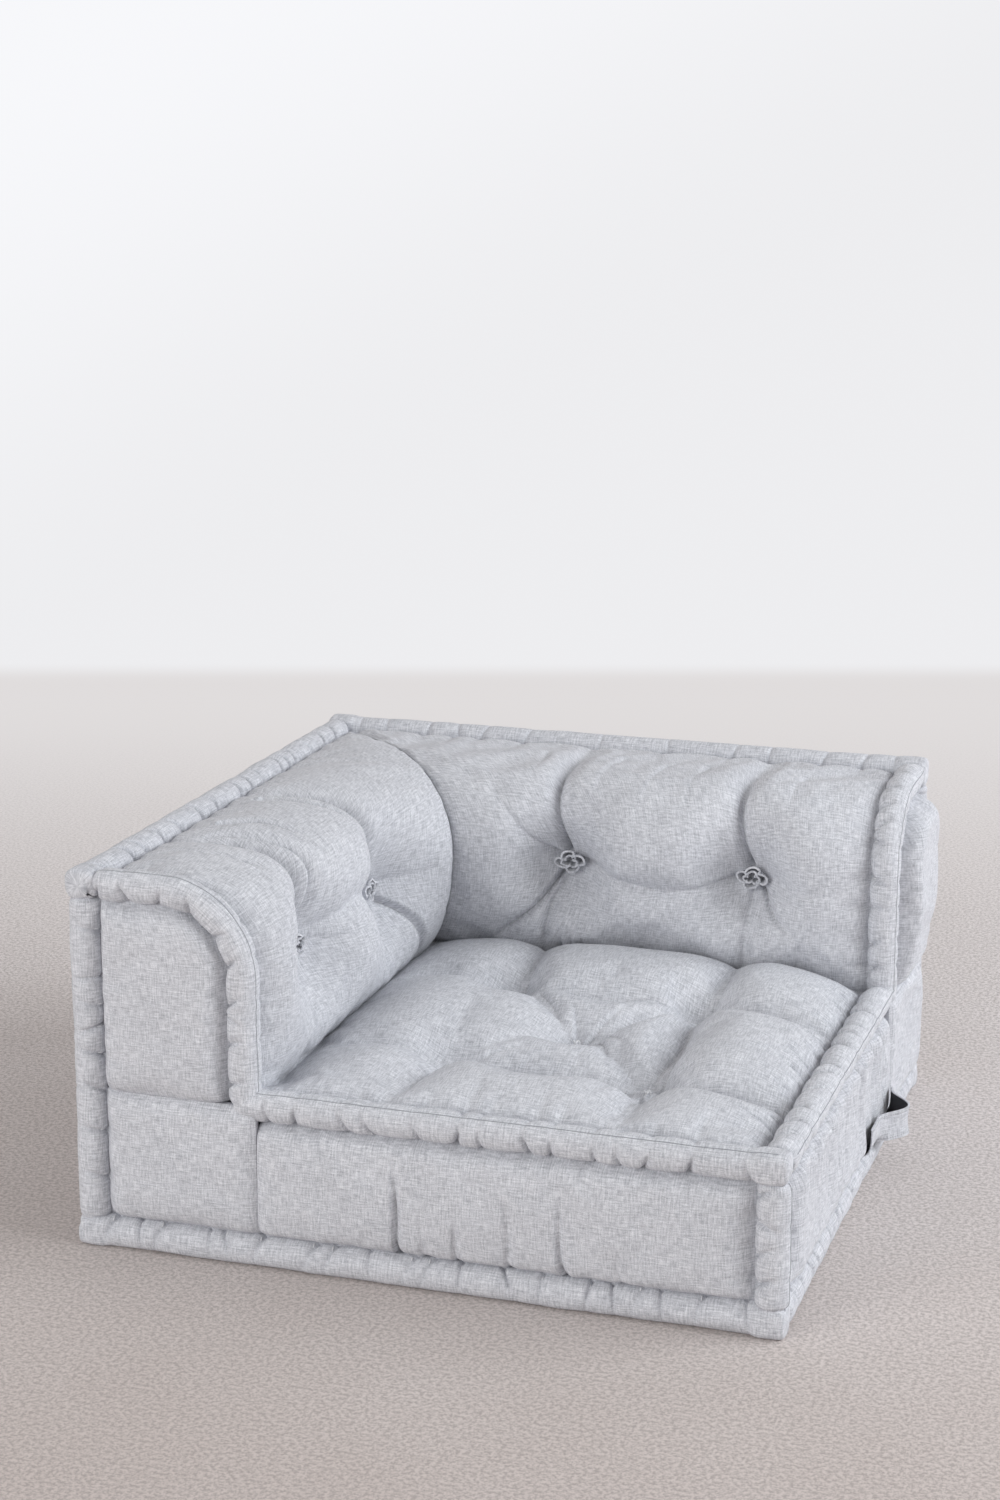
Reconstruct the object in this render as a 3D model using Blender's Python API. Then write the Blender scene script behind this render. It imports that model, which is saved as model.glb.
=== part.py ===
"""Low corner seat of a modular sofa: a stuffed base mattress with two mitred bolsters sewn on top of it.

Every edge of the casing is a hand-stitched roll. The rolls' axes lie on the axis planes named below, and each
cover panel ends one seam distance from those axes. Units are metres, +Z is up, +Y is towards the back and +X is
towards the free side, on the right seen from the front. The origin is on the floor under the middle.
"""

import math

import bmesh
import bpy
from mathutils import Matrix, Vector

# Overall sizes, measured over the edge rolls
WIDTH = 0.83
DEPTH = 0.83
BACK_HEIGHT = 0.45
SEAT_HEIGHT = 0.21
BOLSTER_THICKNESS = 0.225
BOLSTER_ROUND = 0.11

# Edge rolls
ROLL_RADIUS = 0.018
ROLL_PINCH = 0.84
ROLL_PITCH = 0.05

# Cloth and clearance
CLOTH = 0.003
GAP = 0.0004
FILL_SLACK = 0.002

# How far the stuffing swells the panels
SEAT_CROWN = 0.048
BOLSTER_CROWN = 0.060
BAND_CROWN = 0.022
CAP_CROWN = 0.024
BOLSTER_RISE = 0.20
BOLSTER_TOP_SHARE = 0.25
SWELL_POWER = 3
SEAM_LEVEL = 0.6

# Tufts
TUFT_SPACING = 0.24
SEAT_TUFT_DEPTH = 0.056
SEAT_TUFT_SPREAD = 0.054
ROSETTE_SHIFT = 0.022
ROSETTE_RISE = 0.133
ROSETTE_DEPTH = 0.092
ROSETTE_SPREAD = 0.066
ROSETTE_RADIUS = 0.014
ROSETTE_HEAD = 0.008
ROSETTE_RUFFLES = 5
ROSETTE_RUFFLE = 0.16
KNOT_RADIUS = 0.004
TWINE_RADIUS = 0.0015
WASHER_RADIUS = 0.012
WASHER_THICKNESS = 0.003

# Grab strap on the right band
STRAP_FROM_SEAM = 0.004
STRAP_REAR_TAB = 0.012
STRAP_LOOP = 0.093
STRAP_FRONT_TAB = 0.05
STRAP_HEIGHT = 0.036
STRAP_ABOVE_ROLL = 0.004
STRAP_BOW = 0.028
STRAP_BOW_POWER = 1.5
STRAP_UPRIGHT_RATE = 3
STRAP_SEAT = 0.0007
STRAP_CLOTH = 0.0022
LINING_CLOTH = 0.0012

# Cells of the pieces' grids, by the spans between their knots
SEAT_CELLS = (4, 4, 4, 4)
SEAT_BESIDE_CELLS = 3
COVER_COLUMNS = (7, 7, 6)
COVER_ROWS = (6, 4)
FILL_WALL_ROWS = 6
FILL_FLOOR_ROWS = sum(COVER_ROWS) - FILL_WALL_ROWS - 1
BAND_COLUMNS = 12
BAND_ROWS = 5
END_COLUMNS = 6
CAP_ROWS = 8
OUTER_ROWS = 6
STRAP_COLUMNS = (2, 12, 4)
STRAP_ROWS = 3
TIE_SIDES = 6
TIE_TURN = math.radians(17)
KNOT_SIDES = 8
ROLL_SAMPLES = 60
SHARP_ANGLE = math.radians(50)

# Reference planes worked out from the sizes
HALF_W = WIDTH / 2
HALF_D = DEPTH / 2
SEAM = ROLL_RADIUS + GAP
BASE_AXIS = ROLL_RADIUS
SEAT_AXIS = SEAT_HEIGHT - ROLL_RADIUS
TOP_AXIS = BACK_HEIGHT - ROLL_RADIUS
LEFT_AXIS = -HALF_W + ROLL_RADIUS
RIGHT_AXIS = HALF_W - ROLL_RADIUS
FRONT_AXIS = -HALF_D + ROLL_RADIUS
REAR_AXIS = HALF_D - ROLL_RADIUS
BOLSTER_AXIS = BOLSTER_THICKNESS - ROLL_RADIUS
EDGE = ROLL_RADIUS + SEAM
FILL_DEPTH = CLOTH + GAP
FILL_TOP = SEAT_AXIS - FILL_DEPTH

# The seat's own rectangle between the bolsters and the free edges, and the middle of its tufts
SEAT_LEFT = -HALF_W + BOLSTER_AXIS + GAP
SEAT_RIGHT = RIGHT_AXIS - SEAM
SEAT_FRONT = FRONT_AXIS + SEAM
SEAT_REAR = HALF_D - BOLSTER_AXIS - GAP
SEAT_MIDDLE_X = (SEAT_LEFT + SEAT_RIGHT) / 2
SEAT_MIDDLE_Y = (SEAT_FRONT + SEAT_REAR) / 2

# Arc lengths along the bolster's inner cover, from its top roll down to the seat
ROUND_AXIS = BOLSTER_ROUND - ROLL_RADIUS
TOP_RUN = BOLSTER_AXIS - ROUND_AXIS - EDGE
ROUND_RUN = ROUND_AXIS * math.pi / 2
FACE_RUN = TOP_AXIS - ROUND_AXIS - SEAT_AXIS
COVER_RUN = TOP_RUN + ROUND_RUN + FACE_RUN
ROSETTE_RUN = COVER_RUN - ROSETTE_RISE

# How far from the corner the mitre seam reaches
MITRE_REACH = BOLSTER_AXIS + BOLSTER_CROWN


def clear_scene():
    for old in list(bpy.data.objects):
        bpy.data.objects.remove(old, do_unlink=True)


def finish(name, roughness, metallic, colour):
    made = bpy.data.materials.new(name)
    made.use_nodes = True
    shader = made.node_tree.nodes["Principled BSDF"]
    shader.inputs["Base Color"].default_value = (*colour, 1.0)
    shader.inputs["Roughness"].default_value = roughness
    shader.inputs["Metallic"].default_value = metallic
    return made


def adopt(item, material):
    """Links an object to the scene under the sofa's root empty."""
    item.data.materials.append(material)
    item.parent = ROOT
    bpy.context.collection.objects.link(item)
    return item


def solid(name, bm, material):
    """Closes a bmesh into a named object with outward faces and short-edge triangles."""
    bmesh.ops.triangulate(bm, faces=bm.faces, quad_method="SHORT_EDGE")
    bmesh.ops.recalc_face_normals(bm, faces=bm.faces)
    if bm.calc_volume(signed=True) < 0:
        bmesh.ops.reverse_faces(bm, faces=bm.faces)
    mesh = bpy.data.meshes.new(name)
    bm.to_mesh(mesh)
    bm.free()
    mesh.shade_smooth()
    mesh.set_sharp_from_angle(angle=SHARP_ANGLE)
    return adopt(bpy.data.objects.new(name, mesh), material)


def unit_block(counts):
    """A unit cube whose faces are cut into a grid of counts[0] by counts[1] by counts[2] cells."""
    bm = bmesh.new()
    bmesh.ops.create_cube(bm, size=1.0, matrix=Matrix.Translation((0.5, 0.5, 0.5)))
    for axis, count in enumerate(counts):
        along = [edge for edge in bm.edges if abs(edge.verts[0].co[axis] - edge.verts[1].co[axis]) > 0.5]
        if count > 1:
            bmesh.ops.subdivide_edges(bm, edges=along, cuts=count - 1, use_grid_fill=True)
    return bm


def stations(knots, counts):
    """Every knot, with each span between two knots cut into its count of equal steps."""
    found = [knots[0]]
    for low, high, count in zip(knots, knots[1:], counts):
        found += [low + (high - low) * step / count for step in range(1, count + 1)]
    return found


def shaped_block(name, counts, place, material):
    """A gridded block whose point (i, j, k) goes where place says."""
    bm = unit_block(counts)
    for vert in bm.verts:
        vert.co = place(*(round(vert.co[axis] * counts[axis]) for axis in range(3)))
    return solid(name, bm, material)


def panel(name, counts, place, material):
    """A cloth panel. place(i, j, depth) gives the point at that depth under its outer face."""
    return shaped_block(name, (*counts, 1), lambda i, j, k: place(i, j, CLOTH * (1 - k)), material)


def swell(share, low, high):
    """Rises from low at share 0 to 1 in the middle and falls to high at share 1."""
    fall_low = (1 - low) * max(0.0, 1 - 2 * share) ** SWELL_POWER
    fall_high = (1 - high) * max(0.0, 2 * share - 1) ** SWELL_POWER
    return 1 - fall_low - fall_high


def share_of(value, low, high):
    return min(1.0, max(0.0, (value - low) / (high - low)))


def pit(distance, depth, spread):
    return depth * math.exp(-((distance / spread) ** 2))


class Bolster:
    """One bolster in its own axes: s along it from the corner, t inwards from its outer face, z up."""

    def __init__(self, name, length, span, place, tufts):
        self.name = name
        self.length = length
        self.span = span
        self.place = place
        self.tufts = tufts
        self.end = length - EDGE

    def profile(self, run):
        """Point (t, z) and outward normal of the inner cover's axis line, a run below the top roll."""
        if run < TOP_RUN:
            return EDGE + run, TOP_AXIS, 0.0, 1.0
        if run < TOP_RUN + ROUND_RUN:
            turn = (run - TOP_RUN) / ROUND_AXIS
            across, up = math.sin(turn), math.cos(turn)
            middle = BOLSTER_AXIS - ROUND_AXIS
            return middle + ROUND_AXIS * across, TOP_AXIS - ROUND_AXIS + ROUND_AXIS * up, across, up
        return BOLSTER_AXIS, SEAT_AXIS + COVER_RUN - run, 1.0, 0.0

    def bulge(self, s, run):
        """How far the inner cover stands out of its axis line."""
        from_end = share_of(self.end - s, 0.0, BOLSTER_RISE)
        across = self.profile(run)[2]
        crown = BOLSTER_CROWN * (BOLSTER_TOP_SHARE + (1 - BOLSTER_TOP_SHARE) * across**2)
        clear_of_mitre = share_of(s, MITRE_REACH, MITRE_REACH + ROSETTE_SPREAD)
        for tuft in self.tufts:
            crown -= clear_of_mitre * pit(math.hypot(s - tuft, run - ROSETTE_RUN), ROSETTE_DEPTH, ROSETTE_SPREAD)
        return crown * swell(run / COVER_RUN, 0, 0) * (1 - (1 - from_end) ** SWELL_POWER)

    def inner(self, s, run, depth):
        """Point (t, z) of the inner cover at s, a depth under its outer face."""
        t, z, across, up = self.profile(run)
        out = self.bulge(s, run) - depth
        return t + across * out, z + up * out

    def mitre(self, run):
        """Where the inner cover meets the diagonal plane s = t."""
        return self.inner(MITRE_REACH, run, 0.0)[0] + GAP

    def outer_bulge(self, s, z):
        along = swell(share_of(s, EDGE, self.end), 0, 0)
        if z < SEAT_AXIS:
            up = swell(share_of(z, BASE_AXIS + SEAM, SEAT_AXIS), 0, SEAM_LEVEL)
        else:
            up = swell(share_of(z, SEAT_AXIS, TOP_AXIS - SEAM), SEAM_LEVEL, 0)
        return BAND_CROWN * along * up

    def cap_edge(self, z):
        """Inner limit (t) of the end cap at this height, one seam inside the end roll's axis."""
        above = z - (TOP_AXIS - ROUND_AXIS)
        if above <= 0:
            return BOLSTER_AXIS - SEAM
        return BOLSTER_AXIS - ROUND_AXIS + math.sqrt(max(0.0, (ROUND_AXIS - SEAM) ** 2 - above**2))

    def end_bulge(self, t, z):
        """How far the panels of the free end stand out of the rolls' axis plane."""
        if z > SEAT_AXIS:
            up = swell(share_of(z, SEAT_AXIS, TOP_AXIS - SEAM), SEAM_LEVEL, 0)
            return CAP_CROWN * up * swell(share_of(t, EDGE, self.cap_edge(z)), 0, 0)
        if t < BOLSTER_THICKNESS:
            up = swell(share_of(z, BASE_AXIS + SEAM, SEAT_AXIS), 0, SEAM_LEVEL)
            return BAND_CROWN * up * swell(share_of(t, EDGE, BOLSTER_THICKNESS), 0, 1)
        up = swell(share_of(z, BASE_AXIS + SEAM, SEAT_AXIS - SEAM), 0, 0)
        return BAND_CROWN * up * swell(share_of(t, BOLSTER_THICKNESS, self.span - EDGE), 1, 0)

    def end_point(self, t, z, depth):
        return self.place(self.length - ROLL_RADIUS + self.end_bulge(t, z) - depth, t, z)

    def end_fill(self, t, z):
        """Point of the stuffing behind the lower panels of the free end, clear of both beside their seam."""
        out = min(self.end_bulge(t, z), self.end_bulge(max(t, BOLSTER_THICKNESS), z))
        return self.place(self.length - ROLL_RADIUS + out - FILL_DEPTH - FILL_SLACK, t, z)

    def outer_point(self, s, z, depth):
        return self.place(s, ROLL_RADIUS - self.outer_bulge(s, z) + depth, z)


def seat_rise(x, y):
    """Height of the seat cover above the seat rolls' axis plane."""
    across = swell(share_of(x, SEAT_LEFT, SEAT_RIGHT), 0, 0)
    along = swell(share_of(y, SEAT_FRONT, SEAT_REAR), 0, 0)
    rise = SEAT_CROWN * across * along
    for tuft_x, tuft_y in SEAT_TUFTS:
        rise -= pit(math.hypot(x - tuft_x, y - tuft_y), SEAT_TUFT_DEPTH, SEAT_TUFT_SPREAD)
    return rise


def seat_tufts():
    half = TUFT_SPACING / 2
    corners = [(SEAT_MIDDLE_X + a * half, SEAT_MIDDLE_Y + b * half) for b in (1, -1) for a in (-1, 1)]
    return [*corners, (SEAT_MIDDLE_X, SEAT_MIDDLE_Y)]


def bolster_tufts(seat_middle):
    """Both tufts of a bolster, a little further from the corner than those of the seat beside it."""
    middle = seat_middle + ROSETTE_SHIFT
    return [middle - TUFT_SPACING / 2, middle + TUFT_SPACING / 2]


def seat_stations():
    """Grid lines of the seat, through every tuft, in x and in y."""
    half = TUFT_SPACING / 2
    lines_x = [SEAT_LEFT, SEAT_MIDDLE_X - half, SEAT_MIDDLE_X, SEAT_MIDDLE_X + half, SEAT_RIGHT]
    lines_y = [SEAT_FRONT, SEAT_MIDDLE_Y - half, SEAT_MIDDLE_Y, SEAT_MIDDLE_Y + half, SEAT_REAR]
    return stations(lines_x, SEAT_CELLS), stations(lines_y, SEAT_CELLS)


def roll(name, path):
    """A stitched edge roll along a path function of 0 to 1, drawn in at even stitches."""
    samples = [path(step / ROLL_SAMPLES) for step in range(ROLL_SAMPLES + 1)]
    length = sum((b - a).length for a, b in zip(samples, samples[1:]))
    stops = 2 * max(2, round(length / ROLL_PITCH))
    curve = bpy.data.curves.new(name, "CURVE")
    curve.dimensions = "3D"
    curve.bevel_depth = ROLL_RADIUS
    curve.bevel_resolution = 2
    curve.use_fill_caps = True
    spline = curve.splines.new("POLY")
    spline.points.add(stops)
    for stop, point in enumerate(spline.points):
        point.co = (*path(stop / stops), 1.0)
        point.radius = 1.0 if stop % 2 else ROLL_PINCH
    return adopt(bpy.data.objects.new(name, curve), COVER_CLOTH)


def straight_roll(name, start, end):
    return roll(name, lambda share: Vector(start).lerp(Vector(end), share))


def bottom_rolls():
    straight_roll("front_bottom_roll", (-HALF_W, FRONT_AXIS, BASE_AXIS), (HALF_W, FRONT_AXIS, BASE_AXIS))
    straight_roll("rear_bottom_roll", (-HALF_W, REAR_AXIS, BASE_AXIS), (HALF_W, REAR_AXIS, BASE_AXIS))
    for name, x in (("left_bottom_roll", LEFT_AXIS), ("right_bottom_roll", RIGHT_AXIS)):
        straight_roll(name, (x, FRONT_AXIS + SEAM, BASE_AXIS), (x, REAR_AXIS - SEAM, BASE_AXIS))


def corner_rolls():
    corners = {
        "front_left": (LEFT_AXIS, FRONT_AXIS),
        "rear_left": (LEFT_AXIS, REAR_AXIS),
        "rear_right": (RIGHT_AXIS, REAR_AXIS),
    }
    for name, (x, y) in corners.items():
        lower = (BASE_AXIS + SEAM, SEAT_AXIS - GAP / 2)
        upper = (SEAT_AXIS + GAP / 2, TOP_AXIS - SEAM)
        straight_roll(f"{name}_corner_roll_lower", (x, y, lower[0]), (x, y, lower[1]))
        straight_roll(f"{name}_corner_roll_upper", (x, y, upper[0]), (x, y, upper[1]))
    x, y = RIGHT_AXIS, FRONT_AXIS
    straight_roll("front_right_corner_roll", (x, y, BASE_AXIS + SEAM), (x, y, SEAT_AXIS - SEAM))


def top_rolls():
    seam_x = -HALF_W + BOLSTER_THICKNESS + GAP
    seam_y = HALF_D - BOLSTER_THICKNESS - GAP
    straight_roll("front_top_roll", (seam_x, FRONT_AXIS, SEAT_AXIS), (HALF_W, FRONT_AXIS, SEAT_AXIS))
    straight_roll("right_top_roll", (RIGHT_AXIS, FRONT_AXIS + SEAM, SEAT_AXIS), (RIGHT_AXIS, seam_y, SEAT_AXIS))
    straight_roll("back_top_roll", (-HALF_W, REAR_AXIS, TOP_AXIS), (HALF_W, REAR_AXIS, TOP_AXIS))
    straight_roll("side_top_roll", (LEFT_AXIS, -HALF_D, TOP_AXIS), (LEFT_AXIS, REAR_AXIS - SEAM, TOP_AXIS))


def end_roll(bolster):
    """The roll round the free end of a bolster, from its top roll over the shoulder to the seat."""

    def path(share):
        t, z = bolster.profile(share * (COVER_RUN - GAP))[:2]
        return bolster.place(bolster.length - ROLL_RADIUS, t, z)

    roll(f"{bolster.name}_end_roll", path)


def bolster_stations(bolster, row):
    """Grid lines along one row of a bolster's inner cover, from the mitre to the free end."""
    return stations([bolster.mitre(row), *bolster.tufts, bolster.end], COVER_COLUMNS)


def cover_rows():
    return stations([0.0, ROSETTE_RUN, COVER_RUN - GAP], COVER_ROWS)


def bolster_cover(bolster):
    rows = cover_rows()
    columns = [bolster_stations(bolster, run) for run in rows]

    def place(i, j, depth):
        s = columns[j][i]
        return bolster.place(s, *bolster.inner(s, rows[j], depth))

    cover = panel(f"{bolster.name}_inner_panel", (len(columns[0]) - 1, len(rows) - 1), place, COVER_CLOTH)
    bore(cover, bolster.name)


def bolster_fill(bolster):
    """The stuffing of a bolster: its inner side follows the cover, its other sides the outer panel and base."""
    rows = cover_rows()
    columns = [bolster_stations(bolster, run) for run in rows]
    wall = ROLL_RADIUS + FILL_DEPTH + FILL_SLACK
    floor = FILL_TOP + GAP
    wall_rows = stations([TOP_AXIS - SEAM - FILL_SLACK, floor], (FILL_WALL_ROWS,))
    floor_rows = stations([wall, BOLSTER_AXIS - FILL_DEPTH - FILL_SLACK], (FILL_FLOOR_ROWS,))

    def outside(i, j):
        """Point (t, z) of the outer wall and the floor, in step with the rows of the inner cover."""
        if j == 0:
            return EDGE, TOP_AXIS - SEAM
        if j <= len(wall_rows):
            z = wall_rows[j - 1]
            if i == 0:
                return EDGE + FILL_SLACK, z
            loose = i < len(columns[0]) - 1 and 1 < j < len(wall_rows)
            return wall - (bolster.outer_bulge(columns[0][i], z) if loose else 0.0), z
        t = floor_rows[j - len(wall_rows)]
        return (max(EDGE + FILL_SLACK, t) if i == 0 else t), floor

    def place(i, j, k):
        if k == 1:
            s = columns[j][i]
            return bolster.place(s, *bolster.inner(s, rows[j], FILL_DEPTH))
        t, z = outside(i, j)
        s = t + GAP if i == 0 else max(columns[j][i], t + GAP)
        return bolster.place(s, t, z)

    counts = (len(columns[0]) - 1, len(rows) - 1, 1)
    fill = shaped_block(f"{bolster.name}_bolster_fill", counts, place, STUFFING)
    bore(fill, bolster.name)


def end_panels(bolster, cap_name, corner_name, band_name):
    """The panels of a bolster's free end and of the base mattress beside it, all in one upright plane."""
    middle = GAP / 2
    corner_heights = stations([BASE_AXIS + SEAM, SEAT_AXIS - middle], (BAND_ROWS,))
    band_heights = stations([BASE_AXIS + SEAM, SEAT_AXIS - SEAM], (BAND_ROWS,))
    corner_lines = stations([EDGE, BOLSTER_THICKNESS - middle], (END_COLUMNS,))
    band_lines = stations([BOLSTER_THICKNESS + middle, bolster.span - EDGE], (BAND_COLUMNS,))
    cap_heights = stations([SEAT_AXIS + middle, TOP_AXIS - SEAM], (CAP_ROWS,))

    def cap(i, j, depth):
        z = cap_heights[j]
        t = EDGE + (bolster.cap_edge(z) - EDGE) * i / END_COLUMNS
        return bolster.end_point(t, z, depth)

    def corner(i, j, depth):
        return bolster.end_point(corner_lines[i], corner_heights[j], depth)

    def band(i, j, depth):
        return bolster.end_point(band_lines[i], band_heights[j], depth)

    panel(cap_name, (END_COLUMNS, CAP_ROWS), cap, COVER_CLOTH)
    panel(corner_name, (END_COLUMNS, BAND_ROWS), corner, COVER_CLOTH)
    panel(band_name, (BAND_COLUMNS, BAND_ROWS), band, COVER_CLOTH)


def outer_panels(bolster, band_name):
    """The upright panels on a bolster's outer side: the mattress band and, above its seam, the outer cover."""
    middle = GAP / 2
    lines = stations([EDGE, bolster.end], (BAND_COLUMNS,))
    low = stations([BASE_AXIS + SEAM, SEAT_AXIS - middle], (BAND_ROWS,))
    high = stations([SEAT_AXIS + middle, TOP_AXIS - SEAM], (OUTER_ROWS,))

    def band(i, j, depth):
        return bolster.outer_point(lines[i], low[j], depth)

    def cover(i, j, depth):
        return bolster.outer_point(lines[i], high[j], depth)

    panel(band_name, (BAND_COLUMNS, BAND_ROWS), band, COVER_CLOTH)
    panel(f"{bolster.name}_outer_panel", (BAND_COLUMNS, OUTER_ROWS), cover, COVER_CLOTH)


def base_cloth():
    """The flat cloth that the seat stands on, between the bottom rolls."""
    inset = ROLL_RADIUS * (1 + math.sqrt(0.5)) + GAP
    x, y = HALF_W - inset, HALF_D - inset

    def place(i, j, k):
        return Vector((x * (2 * i - 1), y * (2 * j - 1), CLOTH * k))

    shaped_block("base_cloth", (1, 1, 1), place, COVER_CLOTH)


def seat_cover():
    lines_x, lines_y = seat_stations()

    def place(i, j, depth):
        x, y = lines_x[i], lines_y[j]
        return Vector((x, y, SEAT_AXIS + seat_rise(x, y) - depth))

    cover = panel("seat_top_panel", (len(lines_x) - 1, len(lines_y) - 1), place, COVER_CLOTH)
    bore(cover, "seat")


def seat_fill():
    """The base mattress's stuffing: the whole footprint, with the seat's crown and tufts in its top."""
    lines_x, lines_y = seat_stations()
    beside = LEFT_AXIS + SEAM
    behind = REAR_AXIS - SEAM
    xs = stations([beside, SEAT_LEFT], (SEAT_BESIDE_CELLS,))[:-1] + lines_x
    ys = lines_y + stations([SEAT_REAR, behind], (SEAT_BESIDE_CELLS,))[1:]
    slack = FILL_DEPTH + FILL_SLACK
    low = BASE_AXIS + SEAM
    high = SEAT_AXIS - SEAM
    zs = [FILL_DEPTH, low, *stations([low + FILL_SLACK, high - FILL_SLACK], (2,)), high, FILL_TOP]
    last_x, last_y, last_z = len(xs) - 1, len(ys) - 1, len(zs) - 1

    def place(i, j, k):
        x, y, z = xs[i], ys[j], zs[k]
        on_seat = SEAT_LEFT <= x and y <= SEAT_REAR
        if k == last_z and on_seat:
            z += seat_rise(x, y)
        if 1 < k < last_z - 1:
            if 0 < i < last_x and j == 0:
                y = SIDE.end_fill(x + HALF_W, z).y
            if 0 < i < last_x and j == last_y:
                y = BACK.outer_point(x + HALF_W, z, slack).y
            if 0 < j < last_y and i == last_x:
                x = BACK.end_fill(HALF_D - y, z).x
            if 0 < j < last_y and i == 0:
                x = SIDE.outer_point(HALF_D - y, z, slack).x
        return Vector((x, y, z))

    bore(shaped_block("seat_fill", (last_x, last_y, last_z), place, STUFFING), "seat")


def turned(outline, sides, first=0.0):
    """A bmesh turned round +Z from (radius, height) points that start and end on the axis, its first side at first."""
    bm = bmesh.new()
    chain = [bm.verts.new((radius, 0.0, height)) for radius, height in outline]
    edges = [bm.edges.new(pair) for pair in zip(chain, chain[1:])]
    bmesh.ops.spin(
        bm, geom=chain + edges, axis=(0, 0, 1), cent=(0, 0, 0), steps=sides, angle=math.tau, use_merge=True
    )
    bmesh.ops.remove_doubles(bm, verts=bm.verts, dist=1e-6)
    bm.transform(Matrix.Rotation(first, 4, "Z"))
    return bm


def tie_outline(length, spare):
    """A length of twine with its felt washer at the foot, made larger all round by spare."""
    twine = TWINE_RADIUS + spare
    washer = WASHER_RADIUS + spare
    top = WASHER_THICKNESS + spare
    tip = length + spare
    return [(0, -spare), (washer, -spare), (washer, top), (twine, top), (twine, tip), (0, tip)]


def upright(point):
    return Matrix.Translation(point)


def facing(bolster, s, t, z):
    """A frame whose +Z points out of a bolster's inner cover."""
    origin = bolster.place(s, t, z)
    out = bolster.place(s, t + 1, z) - origin
    return Matrix.Translation(origin) @ out.to_track_quat("Z", "Y").to_matrix().to_4x4()


def ties():
    """Where each tie stands and how long it is, by the cushion that it goes through."""
    found = {"seat": [], "side": [], "back": []}
    for x, y in SEAT_TUFTS:
        foot = FILL_DEPTH
        found["seat"].append((upright((x, y, foot)), SEAT_AXIS + seat_rise(x, y) - foot))
    for bolster in (SIDE, BACK):
        for s in bolster.tufts:
            t, z = bolster.inner(s, ROSETTE_RUN, 0.0)
            foot = ROLL_RADIUS + FILL_DEPTH + FILL_SLACK - bolster.outer_bulge(s, z)
            found[bolster.name].append((facing(bolster, s, foot, z), t - foot))
    return found


def bore(item, cushion):
    """Cuts the ties' holes and washer pockets out of a cover or a filling."""
    cut = item.modifiers.new("tie_holes", "BOOLEAN")
    cut.operation = "DIFFERENCE"
    cut.solver = "EXACT"
    cut.object = CUTTERS[cushion]


def tie_cutters():
    made = {}
    for cushion, places in TIES.items():
        bm = bmesh.new()
        for frame, length in places:
            one = turned(tie_outline(length + ROLL_RADIUS, GAP), TIE_SIDES, TIE_TURN)
            one.transform(frame)
            scratch = bpy.data.meshes.new("one_cutter")
            one.to_mesh(scratch)
            one.free()
            bm.from_mesh(scratch)
        bmesh.ops.recalc_face_normals(bm, faces=bm.faces)
        mesh = bpy.data.meshes.new(f"{cushion}_tie_cutter")
        bm.to_mesh(mesh)
        bm.free()
        cutter = adopt(bpy.data.objects.new(f"{cushion}_tie_cutter", mesh), STUFFING)
        cutter.hide_render = True
        cutter.display_type = "WIRE"
        made[cushion] = cutter
    return made


def tuft_ties():
    for cushion, places in TIES.items():
        for number, (frame, length) in enumerate(places, 1):
            bm = turned(tie_outline(length, 0.0), TIE_SIDES, TIE_TURN)
            bm.transform(frame)
            solid(f"{cushion}_tuft_tie_{number}", bm, TWINE)


def seat_knots():
    """A knot in the bottom of each seat tuft, on top of its tie."""
    slope = SEAT_TUFT_DEPTH / SEAT_TUFT_SPREAD
    lift = KNOT_RADIUS * (math.sqrt(1 + slope**2) - 1) + GAP
    for number, (frame, length) in enumerate(TIES["seat"], 1):
        neck = TWINE_RADIUS
        outline = [(0, GAP), (neck, GAP), (neck, lift), (KNOT_RADIUS, lift + KNOT_RADIUS)]
        outline += [(KNOT_RADIUS * 0.7, lift + KNOT_RADIUS * 1.7), (0, lift + KNOT_RADIUS * 2)]
        bm = turned(outline, KNOT_SIDES)
        bm.transform(frame @ Matrix.Translation((0, 0, length)))
        solid(f"seat_tuft_knot_{number}", bm, TWINE)


def rosettes():
    """A ruffled cloth rosette on a twine neck in each bolster tuft."""
    neck = TWINE_RADIUS
    stand = ROSETTE_RADIUS * ROSETTE_DEPTH / ROSETTE_SPREAD + GAP
    outline = [(0, GAP), (neck, GAP), (neck, stand), (ROSETTE_RADIUS * 0.8, stand)]
    outline += [(ROSETTE_RADIUS, stand + ROSETTE_HEAD * 0.5), (ROSETTE_RADIUS * 0.7, stand + ROSETTE_HEAD)]
    outline += [(ROSETTE_RADIUS * 0.3, stand + ROSETTE_HEAD * 0.75), (0, stand + ROSETTE_HEAD * 0.6)]
    for cushion in ("side", "back"):
        for number, (frame, length) in enumerate(TIES[cushion], 1):
            bm = turned(outline, 4 * ROSETTE_RUFFLES)
            for vert in bm.verts:
                around = math.atan2(vert.co.y, vert.co.x)
                ruffle = ROSETTE_RUFFLE * math.cos(ROSETTE_RUFFLES * around)
                if vert.co.z > stand - GAP / 2:
                    vert.co.xy *= 1 - ROSETTE_RUFFLE + ruffle
            bm.transform(frame @ Matrix.Translation((0, 0, length)))
            solid(f"{cushion}_rosette_{number}", bm, COVER_CLOTH)


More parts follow.
